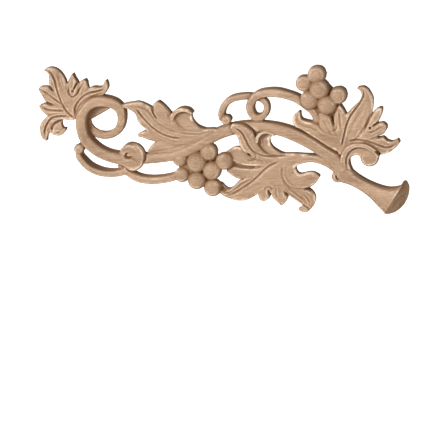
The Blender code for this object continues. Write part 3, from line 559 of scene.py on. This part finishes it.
carving.lobe(
    [(54, 131), (52.6, 127), (54, 123), (58, 119.4), (62, 118)],
    [(65.4, 130), (63.4, 127), (62, 123.6), (62, 120.6), (64, 118)],
    (11, 10.6, 9.6, 9, 9),
    LEANING,
)
carving.dome(71, 107, 11, 12.5, (0, 0.2, 0.8, 2.5))
carving.groove(
    [
        (75.6, 118), (70.4, 113), (65.8, 107.6), (61, 96), (58.2, 87), (55.4, 77.4), (51.7, 71.6),
        (47, 68.8),
    ],
    1.5,
)
carving.groove([(66, 92), (61.5, 82), (59, 72)], 0.8, 1.1)
carving.groove([(76, 115), (76.4, 106), (82, 97.4), (90.4, 91.4), (99, 89.6), (106, 87.6)], 1.5)
carving.groove([(80, 110), (88, 99), (99, 93), (106.6, 91)], 0.7, 1)
carving.groove([(69, 115), (59.9, 114.6), (53.3, 116), (47.3, 123.4), (45, 130), (45.4, 136)], 1.4)
carving.groove([(52.4, 130), (52.8, 126), (56, 121.8), (60, 119.8), (64, 119)], 1.1, 1)
carving.groove([(66, 105), (56, 98), (48, 92), (42, 88.5)], 1.1)
carving.groove([(66, 109.5), (56, 109), (48, 108), (42, 105.5)], 1.1)
carving.groove([(79.4, 80), (76.8, 84.6), (74.4, 89.4)], 2.2, 0.8)
carving.groove([(74.6, 89), (73.8, 90.4)], 3.2, 1)
carving.groove([(70.4, 84), (70.4, 91.4), (73.6, 95.6), (77.8, 93), (81, 87.4), (84.6, 82.6)], 1.3, 0.8)
carving.groove([(49.6, 84.6), (54.5, 90)], 2, 0.9)
carving.groove([(45, 100.6), (53, 103.8)], 2, 0.9)

# The middle leaf: it grows from the vine where the arch begins and lies to the left along it, up to the
# ring. Its top lobe is cupped, with a rolled rim, and two long veins run down its middle.
CUPPED = falls(0, 1, 1.9, 2.4, 2.4, 2.2, 2, 1.9, 2.5)  # hollowed below its first edge

carving.lobe(
    [
        (224, 129), (214, 127), (203, 127.6), (196, 128.4), (188, 127.4), (178, 122),
        (168, 115), (158, 109), (149.5, 103.4), (140, 100), (130.3, 101.3), (122.9, 103.4),
    ],
    [
        (225, 131), (214, 135.4), (203, 139.4), (190, 144), (180, 145), (170, 142),
        (158.6, 136), (147.2, 127.6), (140.4, 121), (136.4, 112), (130.6, 108.4), (122.9, 105.6),
    ],
    (11, 13.4, 14.2, 14.6, 14.6, 14.4, 14.2, 13.6, 12.5, 11),
)
carving.lobe(
    [(170, 128), (161, 119), (157, 112), (154.6, 104.9), (156.5, 101.6), (159.3, 100.2)],
    [(182, 124), (177, 117), (173.5, 111.8), (169, 106.6), (164.5, 102.6), (160.6, 100.3)],
    (13.8, 13.6, 13, 12, 10.5),
    CROWNED,
)
carving.lobe(
    [(172, 133), (171.5, 124), (173.4, 115), (178, 108.6)],
    [(212, 129.2), (198.6, 123.4), (194.4, 117.4), (194, 110.4)],
    (14.6, 14.2, 12.8, 11.6, 11, 10.6),
    CUPPED,
)
carving.lobe(
    [
        (171, 119), (173.4, 113), (178.6, 107.7), (183, 106.1), (188.8, 106.4), (192.6, 108.2),
        (195.2, 111.6),
    ],
    [(176, 120), (177.4, 115), (181, 111.2), (185.4, 110), (189.6, 110.6), (192.4, 112.2), (194.6, 113)],
    (13.4, 14.2, 14.8, 15, 14.6, 13.6, 12.2),
    CROWNED,
)
carving.lobe(
    [(164, 124), (154, 126), (147.4, 128.8), (142.4, 131.2), (138.8, 133.6)],
    [(170, 140), (158.6, 141), (150.8, 139.6), (144.4, 137), (139, 135.8)],
    (12.6, 12.2, 11.5, 10.5, 9),
    CROWNED,
)
carving.lobe(
    [(176, 131), (165, 135), (157, 140.8), (152.8, 144.7), (150.4, 147.8), (149.4, 150.4)],
    [(190, 144), (178, 148.4), (169, 150.8), (160, 152.4), (154, 153), (149.8, 152)],
    (12.8, 12.6, 12, 11.2, 9.8),
    CROWNED,
)
carving.lobe(
    [(122.6, 105), (127, 104.8), (131, 106), (134.4, 110)],
    [(124.6, 109.8), (128, 108.8), (131, 109), (134.4, 111.4)],
    (4, 4, 5, 6),
    CROWNED,
)
carving.bar(
    [(160, 149.6, 11, 0.7), (172, 147.6, 11.8, 1), (186, 143.4, 12.6, 1.1), (200, 137, 13, 1)],
    VINE,
)
carving.groove(
    [(138.4, 107), (144, 114), (150, 120.6), (157, 127), (165, 132), (174, 135), (184, 136.6)],
    1.4,
)
carving.groove(
    [(134, 104.5), (146, 106.5), (152.4, 111), (156.6, 117), (163, 123), (172, 127.6), (182, 130.4)],
    0.8,
    1.1,
)
carving.groove([(183, 130.4), (193.7, 132), (204, 131.8), (212, 129.4)], 0.8)
carving.groove([(153.8, 105), (156, 112), (160.4, 118.6)], 1.8, 0.9)
carving.groove([(170, 111), (172.4, 118), (173.4, 124)], 0.6, 1.3)
carving.groove([(151, 151.2), (163, 149.4), (176, 147), (188, 142)], 0.6, 1.2)

# The lower leaf: it hangs below the arch on a round stalk that springs from the stub. Its lobes are
# carved in several heights: one lies over the vine, one is cupped beside it, and the lowest right one
# curls at its tip.
DISHED = falls(2.6, 1.5, 1.7, 2.1, 2.1, 1.6, 0.6, 0, 2.4)  # hollowed, with its second edge raised
HOOKED = falls(4, 2.6, 1.9, 1.8, 1.6, 1.1, 0.5, 0, 2.4)  # rising all the way to its second edge
SPREAD = falls(1.6, 0.6, 0.2, 0, 0, 0, 0.2, 0.6, 1.6)  # nearly flat, where the stalk widens to the leaf

carving.bar(
    [
        (341.5, 169, 12.5, 1),
        (331.5, 162.5, 12.5, 0.85),
        (321.5, 158.9, 12.5, 0.68),
        (313.5, 157.5, 12.8, 0.62),
        (303.5, 158.2, 13, 0.72),
        (293.5, 160.4, 13.4, 0.9),
        (285.5, 164.4, 13.8, 1.1),
    ],
    VINE,
)
carving.lobe(
    [
        (291.5, 155.9), (278.5, 154.8), (269.5, 152), (262, 144.8), (258.3, 136),
        (253.5, 127), (247.5, 123.2), (241.5, 121.8), (235.5, 121.5),
    ],
    [
        (277.5, 163), (264.2, 159.9), (252.9, 155.8), (246.1, 149), (242.9, 144.2),
        (241.7, 138.6), (239.5, 133.8), (235.5, 130.4), (233.3, 126),
    ],
    (12.8, 13.4, 14.6, 15.8, 16.8, 17.2, 16.8, 15),
)
carving.lobe(
    [(267.5, 161), (259.7, 152.7), (257.5, 144.3), (259.1, 137), (262.5, 131.6)],
    [(295.5, 155.2), (280.5, 150.3), (274.1, 145.4), (271.9, 140.7), (274.5, 134)],
    (13.6, 13.4, 12.6, 11.4, 10.8, 10.6),
    CUPPED,
)
carving.lobe(
    [
        (258.1, 141), (258.9, 135), (262.1, 131.2), (266.9, 128.9), (271.9, 129.1), (275.5, 130.8),
        (278.1, 133.7),
    ],
    [
        (261.1, 141), (262.1, 136.4), (264.5, 133.2), (268.1, 131.8), (271.5, 132.4), (274.3, 134),
        (277.3, 134.8),
    ],
    (15, 15.4, 15.2, 14.8, 14.4, 13.6, 12.4),
    CROWNED,
)
carving.lobe(
    [
        (269.5, 152), (257.4, 151.6), (248.2, 148.8), (242.4, 146), (237.1, 145.8), (230.6, 149),
        (226.1, 153),
    ],
    [
        (273.5, 166), (264, 165.3), (254, 165.4), (245.5, 164.6), (237.9, 162.2), (231.2, 158.6),
        (226.1, 154.4),
    ],
    (12.6, 13.2, 13.2, 12.6, 11.6, 10.4, 9.5),
    DISHED,
)
carving.lobe(
    [(271.5, 164.5), (256.3, 164.9), (243.5, 165), (235.5, 165.2), (230.5, 166.6), (228.7, 169.2)],
    [(273.5, 176), (262, 177.4), (250.6, 178.3), (242.1, 179), (235, 176.2), (228.9, 171)],
    (12.4, 11.8, 11, 10.4, 9),
    CROWNED,
)
carving.lobe(
    [
        (275.5, 165), (263.1, 172.4), (251.8, 177.3), (245.5, 179), (240.5, 180.2),
        (236.5, 184.6), (230.5, 188), (226.9, 186), (224.9, 184), (222.5, 182.6),
    ],
    [
        (285.5, 180), (271.5, 188.1), (260.2, 193.5), (254, 197.2), (247.1, 200.1),
        (239.1, 200.3), (230.9, 198.2), (221.7, 192.7), (220.1, 188.2), (221.3, 183.2),
    ],
    (12.8, 13.4, 13.4, 12.8, 12, 11.2, 10, 8.5),
)
carving.lobe(
    [(271.5, 174), (263.1, 184.1), (259.9, 192.7), (260.6, 196.5), (262.4, 199.6), (264.7, 200.7)],
    [(280.5, 177), (275.1, 186.4), (273.1, 193.6), (272.3, 196.6), (269.9, 199.1), (266.7, 200.8)],
    (13.2, 12.6, 11.8, 10.8, 9.5),
    CROWNED,
)
carving.lobe(
    [
        (275.5, 174), (273.1, 186.4), (273.3, 192.6), (274.5, 197), (277.5, 200.2), (281, 203.2),
        (283.1, 204.8),
    ],
    [
        (291.5, 176), (291.5, 186.4), (290.9, 194), (290.1, 198), (288.1, 201.2), (286.1, 203.6),
        (284.1, 204.8),
    ],
    (13.2, 12.6, 11.8, 10.8, 9.5),
)
carving.lobe(
    [
        (277.5, 164), (279.5, 176), (284.9, 187.1), (291.1, 194.8), (297.5, 199.9),
        (303.1, 203), (304.5, 205), (302.7, 207), (300.4, 208.2),
    ],
    [
        (297.5, 162), (295.5, 172), (299.5, 181.1), (305.5, 186), (312.5, 189), (316.9, 194.2),
        (317.9, 199.6), (314.5, 206.8), (308, 212.2), (303.5, 211.4), (300.5, 209.2),
    ],
    (13.4, 13.4, 12.8, 12.2, 11.4, 10.6, 9.8, 8.6),
)
carving.lobe(
    [
        (298.9, 160.6), (298.3, 166), (299.3, 170.4), (302, 172.5), (305.5, 172.2),
        (309.9, 170.9), (314.9, 171), (318.5, 172.8), (320.9, 175.2),
    ],
    [
        (280.5, 162), (281.1, 170), (284.9, 178.4), (291.5, 184.9), (299.5, 188.2),
        (307.1, 187.7), (313.7, 185.4), (318.5, 181.3), (321.3, 176.6),
    ],
    (13.2, 13.6, 14, 14, 13.6, 12.8, 11.4, 10),
    HOOKED,
)
carving.lobe(
    [
        (319.5, 154.4), (305.5, 152.6), (293.5, 151.9), (281.5, 152.9),
        (269.5, 158), (257.4, 165.6), (247.5, 176.2), (242.5, 184.2),
    ],
    [
        (319.5, 161.6), (307.5, 161.8), (299.5, 164.6), (294.5, 173), (287.5, 182.2),
        (276.5, 186.4), (264.2, 187.3), (254, 190.6),
    ],
    (9.4, 11.6, 12.8, 13.4, 13.4, 13.2, 12.4, 11),
    SPREAD,
)
carving.web([(257, 133), (263, 131), (266, 152), (256, 148)], 9.5)
carving.web([(229, 159), (245, 162), (245, 170), (230, 171)], 7.5)
carving.groove(
    [
        (238.5, 125.5), (244.5, 129.5), (249.1, 137), (252.5, 144.2), (257.4, 149.6),
        (266.5, 153.8), (277.5, 154.4), (289.5, 153.7),
    ],
    1.2,
)
carving.groove([(245, 121.6), (250.5, 124.2), (255.5, 128.4), (259.3, 132.8)], 1.8, 0.9)
carving.groove([(250, 151.4), (254.2, 155)], 3.6, 1)
carving.groove([(257.2, 149.6), (259, 154), (257, 158), (252.6, 159), (248, 157)], 0.7, 0.9)
carving.groove([(233.5, 163.6), (242.5, 166), (252.9, 166.6), (265.4, 165.1)], 1, 0.9)
carving.groove(
    [
        (281.5, 160), (272.5, 164), (266.5, 169), (259.7, 175.7), (252.9, 181.4), (245.5, 186.6),
        (237.5, 191.6), (228.5, 195.2),
    ],
    1.2,
    0.9,
)
carving.groove(
    [(256.3, 177.5), (245.5, 181.8), (238.5, 187.2), (230.5, 192.2), (223.5, 191.2)],
    0.9,
    0.9,
)
carving.groove([(222.8, 185.8), (225.2, 188.4), (229.4, 190.2)], 2.4, 2)
carving.groove([(270.9, 188.6), (271.5, 192.6), (273.3, 196.4)], 2.6, 0.8)
carving.groove(
    [(267.7, 191.6), (268.1, 187.5), (271.1, 185.4), (274.7, 187.3), (276.1, 191.6)],
    0.6,
    0.8,
)
carving.groove([(278.5, 185.4), (278.5, 193.6), (281.5, 200.6)], 0.9, 1.2)
carving.groove([(286.9, 190.6), (290.5, 196)], 2.2, 0.9)
carving.groove(
    [
        (285.5, 164), (284.7, 172), (287.1, 180), (292.1, 187.5), (299.5, 193.6), (306.1, 199.2),
        (310.5, 205.6),
    ],
    1,
    1.3,
)
carving.groove(
    [(290.9, 162.6), (288.9, 169), (290.1, 176), (294.5, 182.2), (300.5, 186.4), (306.9, 188.6)],
    0.5,
    1.4,
)
carving.groove([(292.5, 193.2), (300.5, 198.8), (307.1, 203.2)], 1.1, 0.9)
carving.groove([(304.9, 192.2), (310.1, 197.6), (313.1, 204.6)], 0.9, 0.9)
carving.groove([(304.1, 203.6), (307.9, 205.6), (312.3, 209.6)], 1.3, 0.9)
carving.groove([(306.1, 188.4), (309.9, 188), (314.1, 190.4)], 1.8, 0.9)

# The right leaf: it fans out above the stub and under the upper grapes. Its foot is rolled over into a
# scroll that ends in a round knob, and a small eye is cut where two lobes part.
RIDGED = falls(2.6, 0.3, 0.2, 1, 1.6, 1.8, 1.9, 2.3, 3.4)  # with a ridge near its first edge
ROLLED = falls(0, 0, 0, 0, 0, 0.1, 0.3, 0.9, 2.6)  # flat, and rolled down at its second edge

carving.lobe(
    [
        (346, 134), (334, 131.4), (326.3, 128.7), (320.6, 123.4), (314.4, 120.3),
        (308.6, 119.2), (304.4, 117.8), (302.8, 115), (302.4, 112.4), (301.6, 110.6),
    ],
    [
        (344.7, 152.4), (333, 147.6), (321.5, 140.3), (311, 133.8), (303.2, 129.2),
        (297.8, 126.2), (294.8, 122.6), (294, 118), (295.7, 114.2), (300, 110.6),
    ],
    (13.5, 15, 15.6, 15.6, 15.2, 14, 12.5, 10),
    RIDGED,
)
carving.lobe(
    [(328.2, 141.8), (322.5, 130.5), (320.4, 121.4), (320.2, 115.8), (320.9, 112.5), (323.2, 110.6)],
    [(345, 138), (339, 130), (335.4, 124), (333.4, 118), (330.1, 113.5), (325.3, 110.9)],
    (13.6, 14.6, 14.8, 14, 12),
    CROWNED,
)
carving.lobe(
    [(336, 140), (335.4, 128), (335.4, 119), (336.2, 112), (338.4, 107), (340.4, 104.2)],
    [(354, 138), (353, 126), (350.8, 118), (347.6, 112.2), (344, 107), (341.4, 104.2)],
    (13.6, 14.6, 14.6, 13.6, 11.8),
)
carving.web([(316.7, 105.3), (338, 103), (343, 118), (334, 130), (320.6, 127.4)], 9)
carving.lobe(
    [
        (338, 148), (341, 135), (343.5, 124), (347.5, 113.8), (352, 108), (356.5, 104),
        (359.6, 101), (361.5, 97), (362, 93), (360.4, 90), (357.9, 88.6),
    ],
    [
        (357.6, 145.5), (360, 135), (366, 125), (371.6, 116), (374, 108), (374.4, 102),
        (373.7, 97), (371.5, 92.4), (368.2, 88), (364.3, 86), (358, 87),
    ],
    (13.8, 15.4, 15.6, 15.2, 14.6, 13.4, 11.8, 9.4),
)
carving.lobe(
    [(358, 138), (365, 127), (371, 117), (374, 111), (377.2, 107.8), (380.2, 106.8)],
    [(368, 140), (374.4, 130), (378.8, 121.6), (381.4, 116.6), (383, 112), (382.8, 107.6)],
    (14.6, 14.2, 13.4, 12.4, 11),
    CROWNED,
)
carving.lobe(
    [(354, 138), (363, 132.4), (371.4, 127), (378.6, 121.8), (384, 121.4), (387.2, 124.6)],
    [(358.7, 146.4), (366, 142), (374, 137.8), (379.4, 135.2), (383.8, 133.4), (387.2, 129)],
    (14.6, 14.4, 13.6, 12.4, 11),
    CROWNED,
)
carving.lobe(
    [
        (350, 138), (362, 136.4), (372, 136.4), (379, 136), (383.8, 135.4), (388, 139), (392, 140.2),
        (398, 138),
    ],
    [
        (350.7, 149.4), (360.7, 146.4), (370.7, 148.4), (376.7, 151.6), (382.6, 153.9),
        (388, 152.6), (395, 148), (400.4, 142),
    ],
    (13.5, 14, 13.6, 12.8, 12, 11, 9.8),
    RIDGED,
)
carving.lobe(
    [
        (342.5, 173.6), (341.8, 162.7), (344, 151.5), (348.8, 144.5), (357, 141),
        (366, 141.6), (374.1, 145.2), (378.9, 149.8), (380.7, 155.4),
    ],
    [
        (351.7, 171.4), (349.1, 163.8), (348.7, 156.4), (351.7, 150.2), (357.7, 146.2),
        (365.3, 146.4), (371.3, 149.2), (375.7, 152.8), (378.1, 156.4),
    ],
    (13.5, 14.6, 15.6, 16.4, 16.8, 16.6, 16, 15.2, 14),
    CROWNED,
)
carving.lobe(
    [
        (345.7, 171.4), (345.7, 160.4), (348.7, 150.4), (355.6, 145.5), (364.4, 144.6), (372.7, 147.8),
        (378.7, 152.4),
    ],
    [
        (354.7, 170.4), (351.9, 164.4), (351.1, 160), (353.1, 155.8), (356.7, 154), (360.5, 154.5),
        (362.5, 157.8),
    ],
    (12.6, 13.2, 13.6, 13.6, 13.4, 13.2, 13),
    ROLLED,
)
carving.dome(371.3, 156, 14.4, 9.2, (0, 0.1, 0.2, 0.3, 0.6, 1.3, 3.6))
carving.dome(346.7, 147.4, 14, 8, (0, 0.1, 0.4, 1.2, 3))
carving.groove(
    [(297.2, 126.6), (304.2, 129.8), (312.9, 134.9), (322.5, 141.1), (332, 147.4), (341.4, 153.1)],
    1.5,
    0.9,
)
carving.groove(
    [(298.2, 114.8), (299.8, 120.4), (305.2, 123.8), (312.9, 126.1), (321.5, 130.1)],
    0.8,
    1.1,
)
carving.groove([(325.3, 116.7), (328.8, 124.8), (335, 134)], 0.7, 1.1)
carving.groove([(340.6, 110), (341.6, 118), (343, 128)], 0.9)
carving.groove(
    [
        (343.4, 145.2), (346, 134), (348.6, 123), (351.8, 115), (356.6, 108), (361, 101.6), (364.2, 95),
        (364, 89.6),
    ],
    1.5,
)
carving.groove([(352, 126), (358, 117), (363.6, 108.6), (367.6, 99)], 0.6, 1.3)
carving.groove([(373.6, 110.6), (369, 120), (365.6, 129.6)], 1, 1)
carving.groove(
    [(349.5, 139.4), (360, 137.8), (370, 140), (380.4, 144.3), (388, 146.6), (396, 143.6)],
    1.3,
)
carving.groove([(333.2, 113), (334.2, 119), (336.4, 125)], 2.2, 0.8)
carving.groove([(338.8, 123), (337.4, 127.8), (333.4, 129.6)], 0.8, 0.9)
carving.groove([(370.6, 127.2), (372.4, 126)], 3.2, 1)
carving.groove([(373.4, 125.4), (380, 120.4)], 2.4, 0.8)
carving.groove([(368.4, 129.4), (371.6, 130.6), (376.4, 129.2), (381, 126.4), (385.4, 125.6)], 0.9, 0.8)
carving.groove([(378.4, 136.8), (384.6, 133.8)], 2.6, 0.8)
carving.groove([(376.9, 148.8), (381.4, 153.9)], 2.8, 0.8)
carving.groove(
    [(349.1, 165.4), (348.7, 156.4), (351.7, 150.2), (357.7, 146.2), (365.3, 146.4), (371.7, 149.2)],
    0.7,
    0.8,
)


# The forms are joined into one skin, and the grooves are cut into what faces forward. Then the skin is
# eased, as sanding does, and thinned to fewer faces.
CUT_SIZE = 0.00042  # the width of a voxel, in metres
FACE_COUNT = 196000  # the triangles that are left
VEIN_DEPTH = 1.9  # of a groove of depth 1
GROOVE_REACH = 5  # farther from its line a groove cuts nothing
FADE_STEPS, LEAST_FADE = 8, 0.15  # a groove gets shallower over its last steps, down to the least share
SHARPEST = math.radians(60)  # edges sharper than this aren't shaded smooth


def groove_depths(x, y):
    """How deep the grooves cut at each place on the sheet, in millimetres."""
    deepest = np.zeros(len(x))
    for line, share, width in carving.grooves:
        near = (x > line[:, 0].min() - GROOVE_REACH) & (x < line[:, 0].max() + GROOVE_REACH)
        near &= (y > line[:, 1].min() - GROOVE_REACH) & (y < line[:, 1].max() + GROOVE_REACH)
        places = np.nonzero(near)[0]
        if len(places) == 0:
            continue
        closest = np.full(len(places), np.inf)
        nearest = np.zeros(len(places))
        for at, (px, py) in enumerate(line[:, :2]):
            apart = (x[places] - px) ** 2 + (y[places] - py) ** 2
            better = apart < closest
            closest[better] = apart[better]
            nearest[better] = at
        from_end = np.minimum(nearest, len(line) - 1 - nearest)
        fade = np.clip(from_end / min(FADE_STEPS, len(line) / 4), LEAST_FADE, 1)
        depth = share * fade * np.exp(-closest / width**2)
        deepest[places] = np.maximum(deepest[places], depth)
    return deepest * VEIN_DEPTH


def evaluated_mesh(made):
    """The object's mesh as its modifiers leave it."""
    return bpy.data.meshes.new_from_object(made.evaluated_get(bpy.context.evaluated_depsgraph_get()))


def vertex_values(mesh, name):
    """The places or normals of a mesh's vertices, as rows."""
    values = np.empty(len(mesh.vertices) * 3)
    mesh.vertices.foreach_get(name, values)
    return values.reshape(-1, 3)


def on_sheet(place):
    """Where places on the skin are on the sheet: their x and their y."""
    y = ORIGIN_Y - place[:, 2] / MILLIMETRE
    return place[:, 0] / MILLIMETRE + ORIGIN_X + LEAN * (y - ORIGIN_Y), y


mesh = bpy.data.meshes.new("carved_vine")
mesh.from_pydata(carving.points, [], carving.faces)
onlay = bpy.data.objects.new("carved_vine", mesh)
bpy.context.scene.collection.objects.link(onlay)
joined = onlay.modifiers.new("joined", "REMESH")
joined.mode = "VOXEL"
joined.voxel_size = CUT_SIZE
onlay.data = evaluated_mesh(onlay)
onlay.modifiers.clear()

place = vertex_values(onlay.data, "co")
facing = np.clip(-vertex_values(onlay.data, "normal")[:, 1] * 2, 0, 1)
place[:, 1] += groove_depths(*on_sheet(place)) * MILLIMETRE * facing
onlay.data.vertices.foreach_set("co", place.ravel())

eased = onlay.modifiers.new("eased", "SMOOTH")
eased.factor = 0.5
eased.iterations = 2
thinned = onlay.modifiers.new("thinned", "DECIMATE")
thinned.ratio = min(1, FACE_COUNT / (2 * len(onlay.data.polygons)))
onlay.data = evaluated_mesh(onlay)
onlay.modifiers.clear()

# The back is planed flat: what the forms ran on behind the glue face is pressed up to it.
place = vertex_values(onlay.data, "co")
place[:, 1] = np.minimum(place[:, 1], 0)
onlay.data.vertices.foreach_set("co", place.ravel())
onlay.data.shade_smooth()
onlay.data.set_sharp_from_angle(angle=SHARPEST)

# Painted shade darkens the wood in its recesses and on its sides, and a painted highlight pales raised
# edges.
# So each place on the skin keeps how it lies to the wood around it, as a map of the relief's heights tells.
CELL = 0.5  # the width of a cell of the map
MARGIN = 12  # empty cells round the map, as many as the farthest look
# The painted shade of close recesses, edges and wide recesses: the cells looked at, how fast higher wood
# counts less with its distance, the drop where the painted shade starts, the further drop that darkens
# fully, and by how much.
RECESSES = (
    ((2, 4), 0.6, 1.5, 7, 1),
    ((1, 2), 0.3, 0.3, 2.2, 0.8),
    ((6, 9, 12), 0.8, 4, 8, 0.95),
)
# Steep sides get painted shade too, less where they face up, as light from above falls on them.
STEEP = 0.42  # a side may face forward by this much
SIDE_TOP, SIDE_FADE = 16, 7  # sides darken from this height down, over so many millimetres
SIDE_SHARE, LIT_FROM_ABOVE = 0.74, 0.55  # how much sides darken, and how much less where they face up
BACK_START, BACK_FADE = 0.7, 0.4  # the back keeps its own colour
# Painted highlight on places that stand above the wood round them, and painted shade on places that lie
# below it.
LIGHT_AND_SHADE_REACH = 3.3  # how many cells round a place its height is compared with
HIGHLIGHT_START, LIGHT_AND_SHADE_FADE = 0.1, 0.9

place, normal = vertex_values(onlay.data, "co"), vertex_values(onlay.data, "normal")
column = ((place[:, 0] - low.x) / MILLIMETRE / CELL).astype(int) + MARGIN
row = ((place[:, 2] - low.z) / MILLIMETRE / CELL).astype(int) + MARGIN
relief = np.zeros((row.max() + MARGIN + 1, column.max() + MARGIN + 1))
np.maximum.at(relief, (row, column), -place[:, 1] / MILLIMETRE)


def keep(name, values):
    """Keeps a value for each place on the skin, for its colour to read."""
    kept = onlay.data.attributes.new(name, "FLOAT", "POINT")
    kept.data.foreach_set("value", values.astype(np.float32))


def highest_near(reaches, slope):
    """The highest wood close by, for reaches in cells; the farther off it is, the lower it counts."""
    crest = relief.copy()
    for degrees in range(0, 360, 30):
        turn = math.radians(degrees)
        for reach in reaches:
            right, up = round(reach * math.cos(turn)), round(reach * math.sin(turn))
            crest = np.maximum(crest, np.roll(relief, (up, right), (0, 1)) - reach * CELL * slope)
    smooth = crest.copy()
    for shift in (1, 2):
        for axis in (0, 1):
            smooth = smooth + np.roll(crest, shift, axis) + np.roll(crest, -shift, axis)
    return smooth[row, column] / 9


# Painted shade in recesses, by how far each place lies below the wood near it, and on steep sides.
height = -place[:, 1] / MILLIMETRE
recess_shade = np.zeros(len(height))
for reaches, slope, start, span, share in RECESSES:
    drop = highest_near(reaches, slope) - height
    recess_shade = np.maximum(recess_shade, np.clip((drop - start) / span, 0, 1) * share)
side = np.clip((STEEP + normal[:, 1]) / STEEP, 0, 1) * np.clip((SIDE_TOP - height) / SIDE_FADE, 0, 1)
side *= 1 - LIT_FROM_ABOVE * np.clip(normal[:, 2], 0, 1)
front = np.clip((BACK_START - normal[:, 1]) / BACK_FADE, 0, 1)
keep("recess_shade", np.maximum(recess_shade, side * SIDE_SHARE) * front)

total, solid = np.zeros_like(relief), np.zeros_like(relief)
cells = range(-int(LIGHT_AND_SHADE_REACH), int(LIGHT_AND_SHADE_REACH) + 1)
for right in cells:
    for up in cells:
        if math.hypot(right, up) < LIGHT_AND_SHADE_REACH:
            total += np.roll(relief, (up, right), (0, 1))
            solid += np.roll(relief > 0, (up, right), (0, 1))
# Raised places facing forward get a painted highlight, and sunken ones painted shade.
above = height - (total / np.maximum(solid, 1))[row, column]
forward = np.clip(-normal[:, 1] * 2 - 1, 0, 1)
keep("ridge_highlight", np.clip((above - HIGHLIGHT_START) / LIGHT_AND_SHADE_FADE, 0, 1) * forward)
keep("hollow_shade", np.clip(-above / LIGHT_AND_SHADE_FADE, 0, 1))

# The sawn face of the stub shows darker end grain. It lies past a line on the sheet and doesn't face up.
END_X, END_Y = 404.5, 183.5  # a place on the line
END_RIGHT, END_DOWN = 0.838, 0.545  # which way the line is passed
sheet_x, sheet_y = on_sheet(place)
past_end = (sheet_x - END_X) * END_RIGHT + (sheet_y - END_Y) * END_DOWN
keep("cut_end", np.clip(past_end, 0, 1) * np.clip(4 - 4 * abs(normal[:, 2]), 0, 1))


class Amount:
    """A socket's value in the wood's colour and finish, which Python's own signs work on."""

    def __init__(self, tree, socket):
        self.tree, self.socket = tree, socket

    def joined(self, operation, first, second):
        return self.tree.add("ShaderNodeMath", {"operation": operation}, {0: first, 1: second})

    def __add__(self, other):
        return self.joined("ADD", self, other)

    def __radd__(self, other):
        return self.joined("ADD", other, self)

    def __sub__(self, other):
        return self.joined("SUBTRACT", self, other)

    def __rsub__(self, other):
        return self.joined("SUBTRACT", other, self)

    def __mul__(self, other):
        return self.joined("MULTIPLY", self, other)

    def __rmul__(self, other):
        return self.joined("MULTIPLY", other, self)


class Finish:
    """A material's nodes, each added with its settings first and then the values or links of its sockets."""

    def __init__(self, name):
        self.material = bpy.data.materials.new(name)
        self.material.use_nodes = True
        self.nodes = self.material.node_tree.nodes
        self.links = self.material.node_tree.links
        self.surface = self.nodes["Principled BSDF"]

    def fill(self, node, sockets):
        for key, value in sockets.items():
            if isinstance(value, Amount):
                self.links.new(value.socket, node.inputs[key])
            else:
                node.inputs[key].default_value = value

    def add(self, kind, settings, sockets, output=0):
        node = self.nodes.new(kind)
        for key, value in settings.items():
            if key == "stops":
                for stop, (at, colour) in zip(node.color_ramp.elements, value):
                    stop.position, stop.color = at, colour
            else:
                setattr(node, key, value)
        self.fill(node, sockets)
        return Amount(self, node.outputs[output])


# The wood's finish: bare hardwood, sanded and neither stained nor varnished. It is a pale tan, and its
# grain runs along the onlay in short fine streaks, which are also felt as a very slight roughness.
DARK_GRAIN, PALE_GRAIN = (0.286, 0.166, 0.093, 1), (0.486, 0.31, 0.189, 1)
# A painted highlight for raised edges, painted shade for hollows and recesses, and the end grain's own
# darker colour.
PAINTED_HIGHLIGHT, PAINTED_HOLLOW_SHADE = (0.95, 0.77, 0.6, 1), (0.3, 0.16, 0.082, 1)
END_GRAIN, PAINTED_RECESS_SHADE = (0.26, 0.14, 0.07, 1), (0.23, 0.104, 0.038, 1)
BROAD_SCALE, STREAK_SCALE = (9, 60, 60), (60, 900, 900)  # drawn out along the onlay
FIRST, SECOND, MIXED = 6, 7, 2  # a Mix node's sockets for its two colours, and for what it gives

wood = Finish("bare pale hardwood")
here = wood.add("ShaderNodeTexCoord", {}, {}, "Object")
along_grain = wood.add("ShaderNodeMapping", {}, {"Vector": here, "Scale": BROAD_SCALE})
broad = wood.add(
    "ShaderNodeTexNoise",
    {},
    {"Vector": along_grain, "Scale": 1.4, "Detail": 3, "Roughness": 0.5},
)
fine_grain = wood.add("ShaderNodeMapping", {}, {"Vector": here, "Scale": STREAK_SCALE})
streaks = wood.add(
    "ShaderNodeTexNoise",
    {},
    {"Vector": fine_grain, "Scale": 1, "Detail": 4, "Roughness": 0.6},
)
patches = wood.add("ShaderNodeTexNoise", {}, {"Vector": here, "Scale": 22, "Detail": 2, "Roughness": 0.5})
tone = broad * 0.35 + streaks * 0.5 + patches * 0.15
colour = wood.add("ShaderNodeValToRGB", {"stops": [(0.38, DARK_GRAIN), (0.62, PALE_GRAIN)]}, {"Fac": tone})
ridge_highlight, hollow_shade, cut_end, recess_shade = (
    wood.add("ShaderNodeAttribute", {"attribute_name": name}, {}, "Fac")
    for name in ("ridge_highlight", "hollow_shade", "cut_end", "recess_shade")
)
# Each row is how much of the colour is turned into another one, and that other one: a painted highlight,
# painted shade in hollows, the darker end grain, and painted shade in recesses and on sides.
for share, turned in (
    (ridge_highlight * 0.85, PAINTED_HIGHLIGHT),
    (hollow_shade * 0.6, PAINTED_HOLLOW_SHADE),
    (cut_end * 0.3, END_GRAIN),
    (recess_shade * (0.9 - cut_end * 0.65), PAINTED_RECESS_SHADE),
):
    colour = wood.add(
        "ShaderNodeMix",
        {"data_type": "RGBA"},
        {"Factor": share, FIRST: colour, SECOND: turned},
        MIXED,
    )
bump = wood.add("ShaderNodeBump", {}, {"Height": streaks, "Strength": 0.12, "Distance": 0.0004})
wood.fill(wood.surface, {"Base Color": colour, "Roughness": 0.48 + streaks * 0.16, "Normal": bump})

onlay.data.materials.clear()
onlay.data.materials.append(wood.material)

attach(onlay, "root")
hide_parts("scroll_onlay")
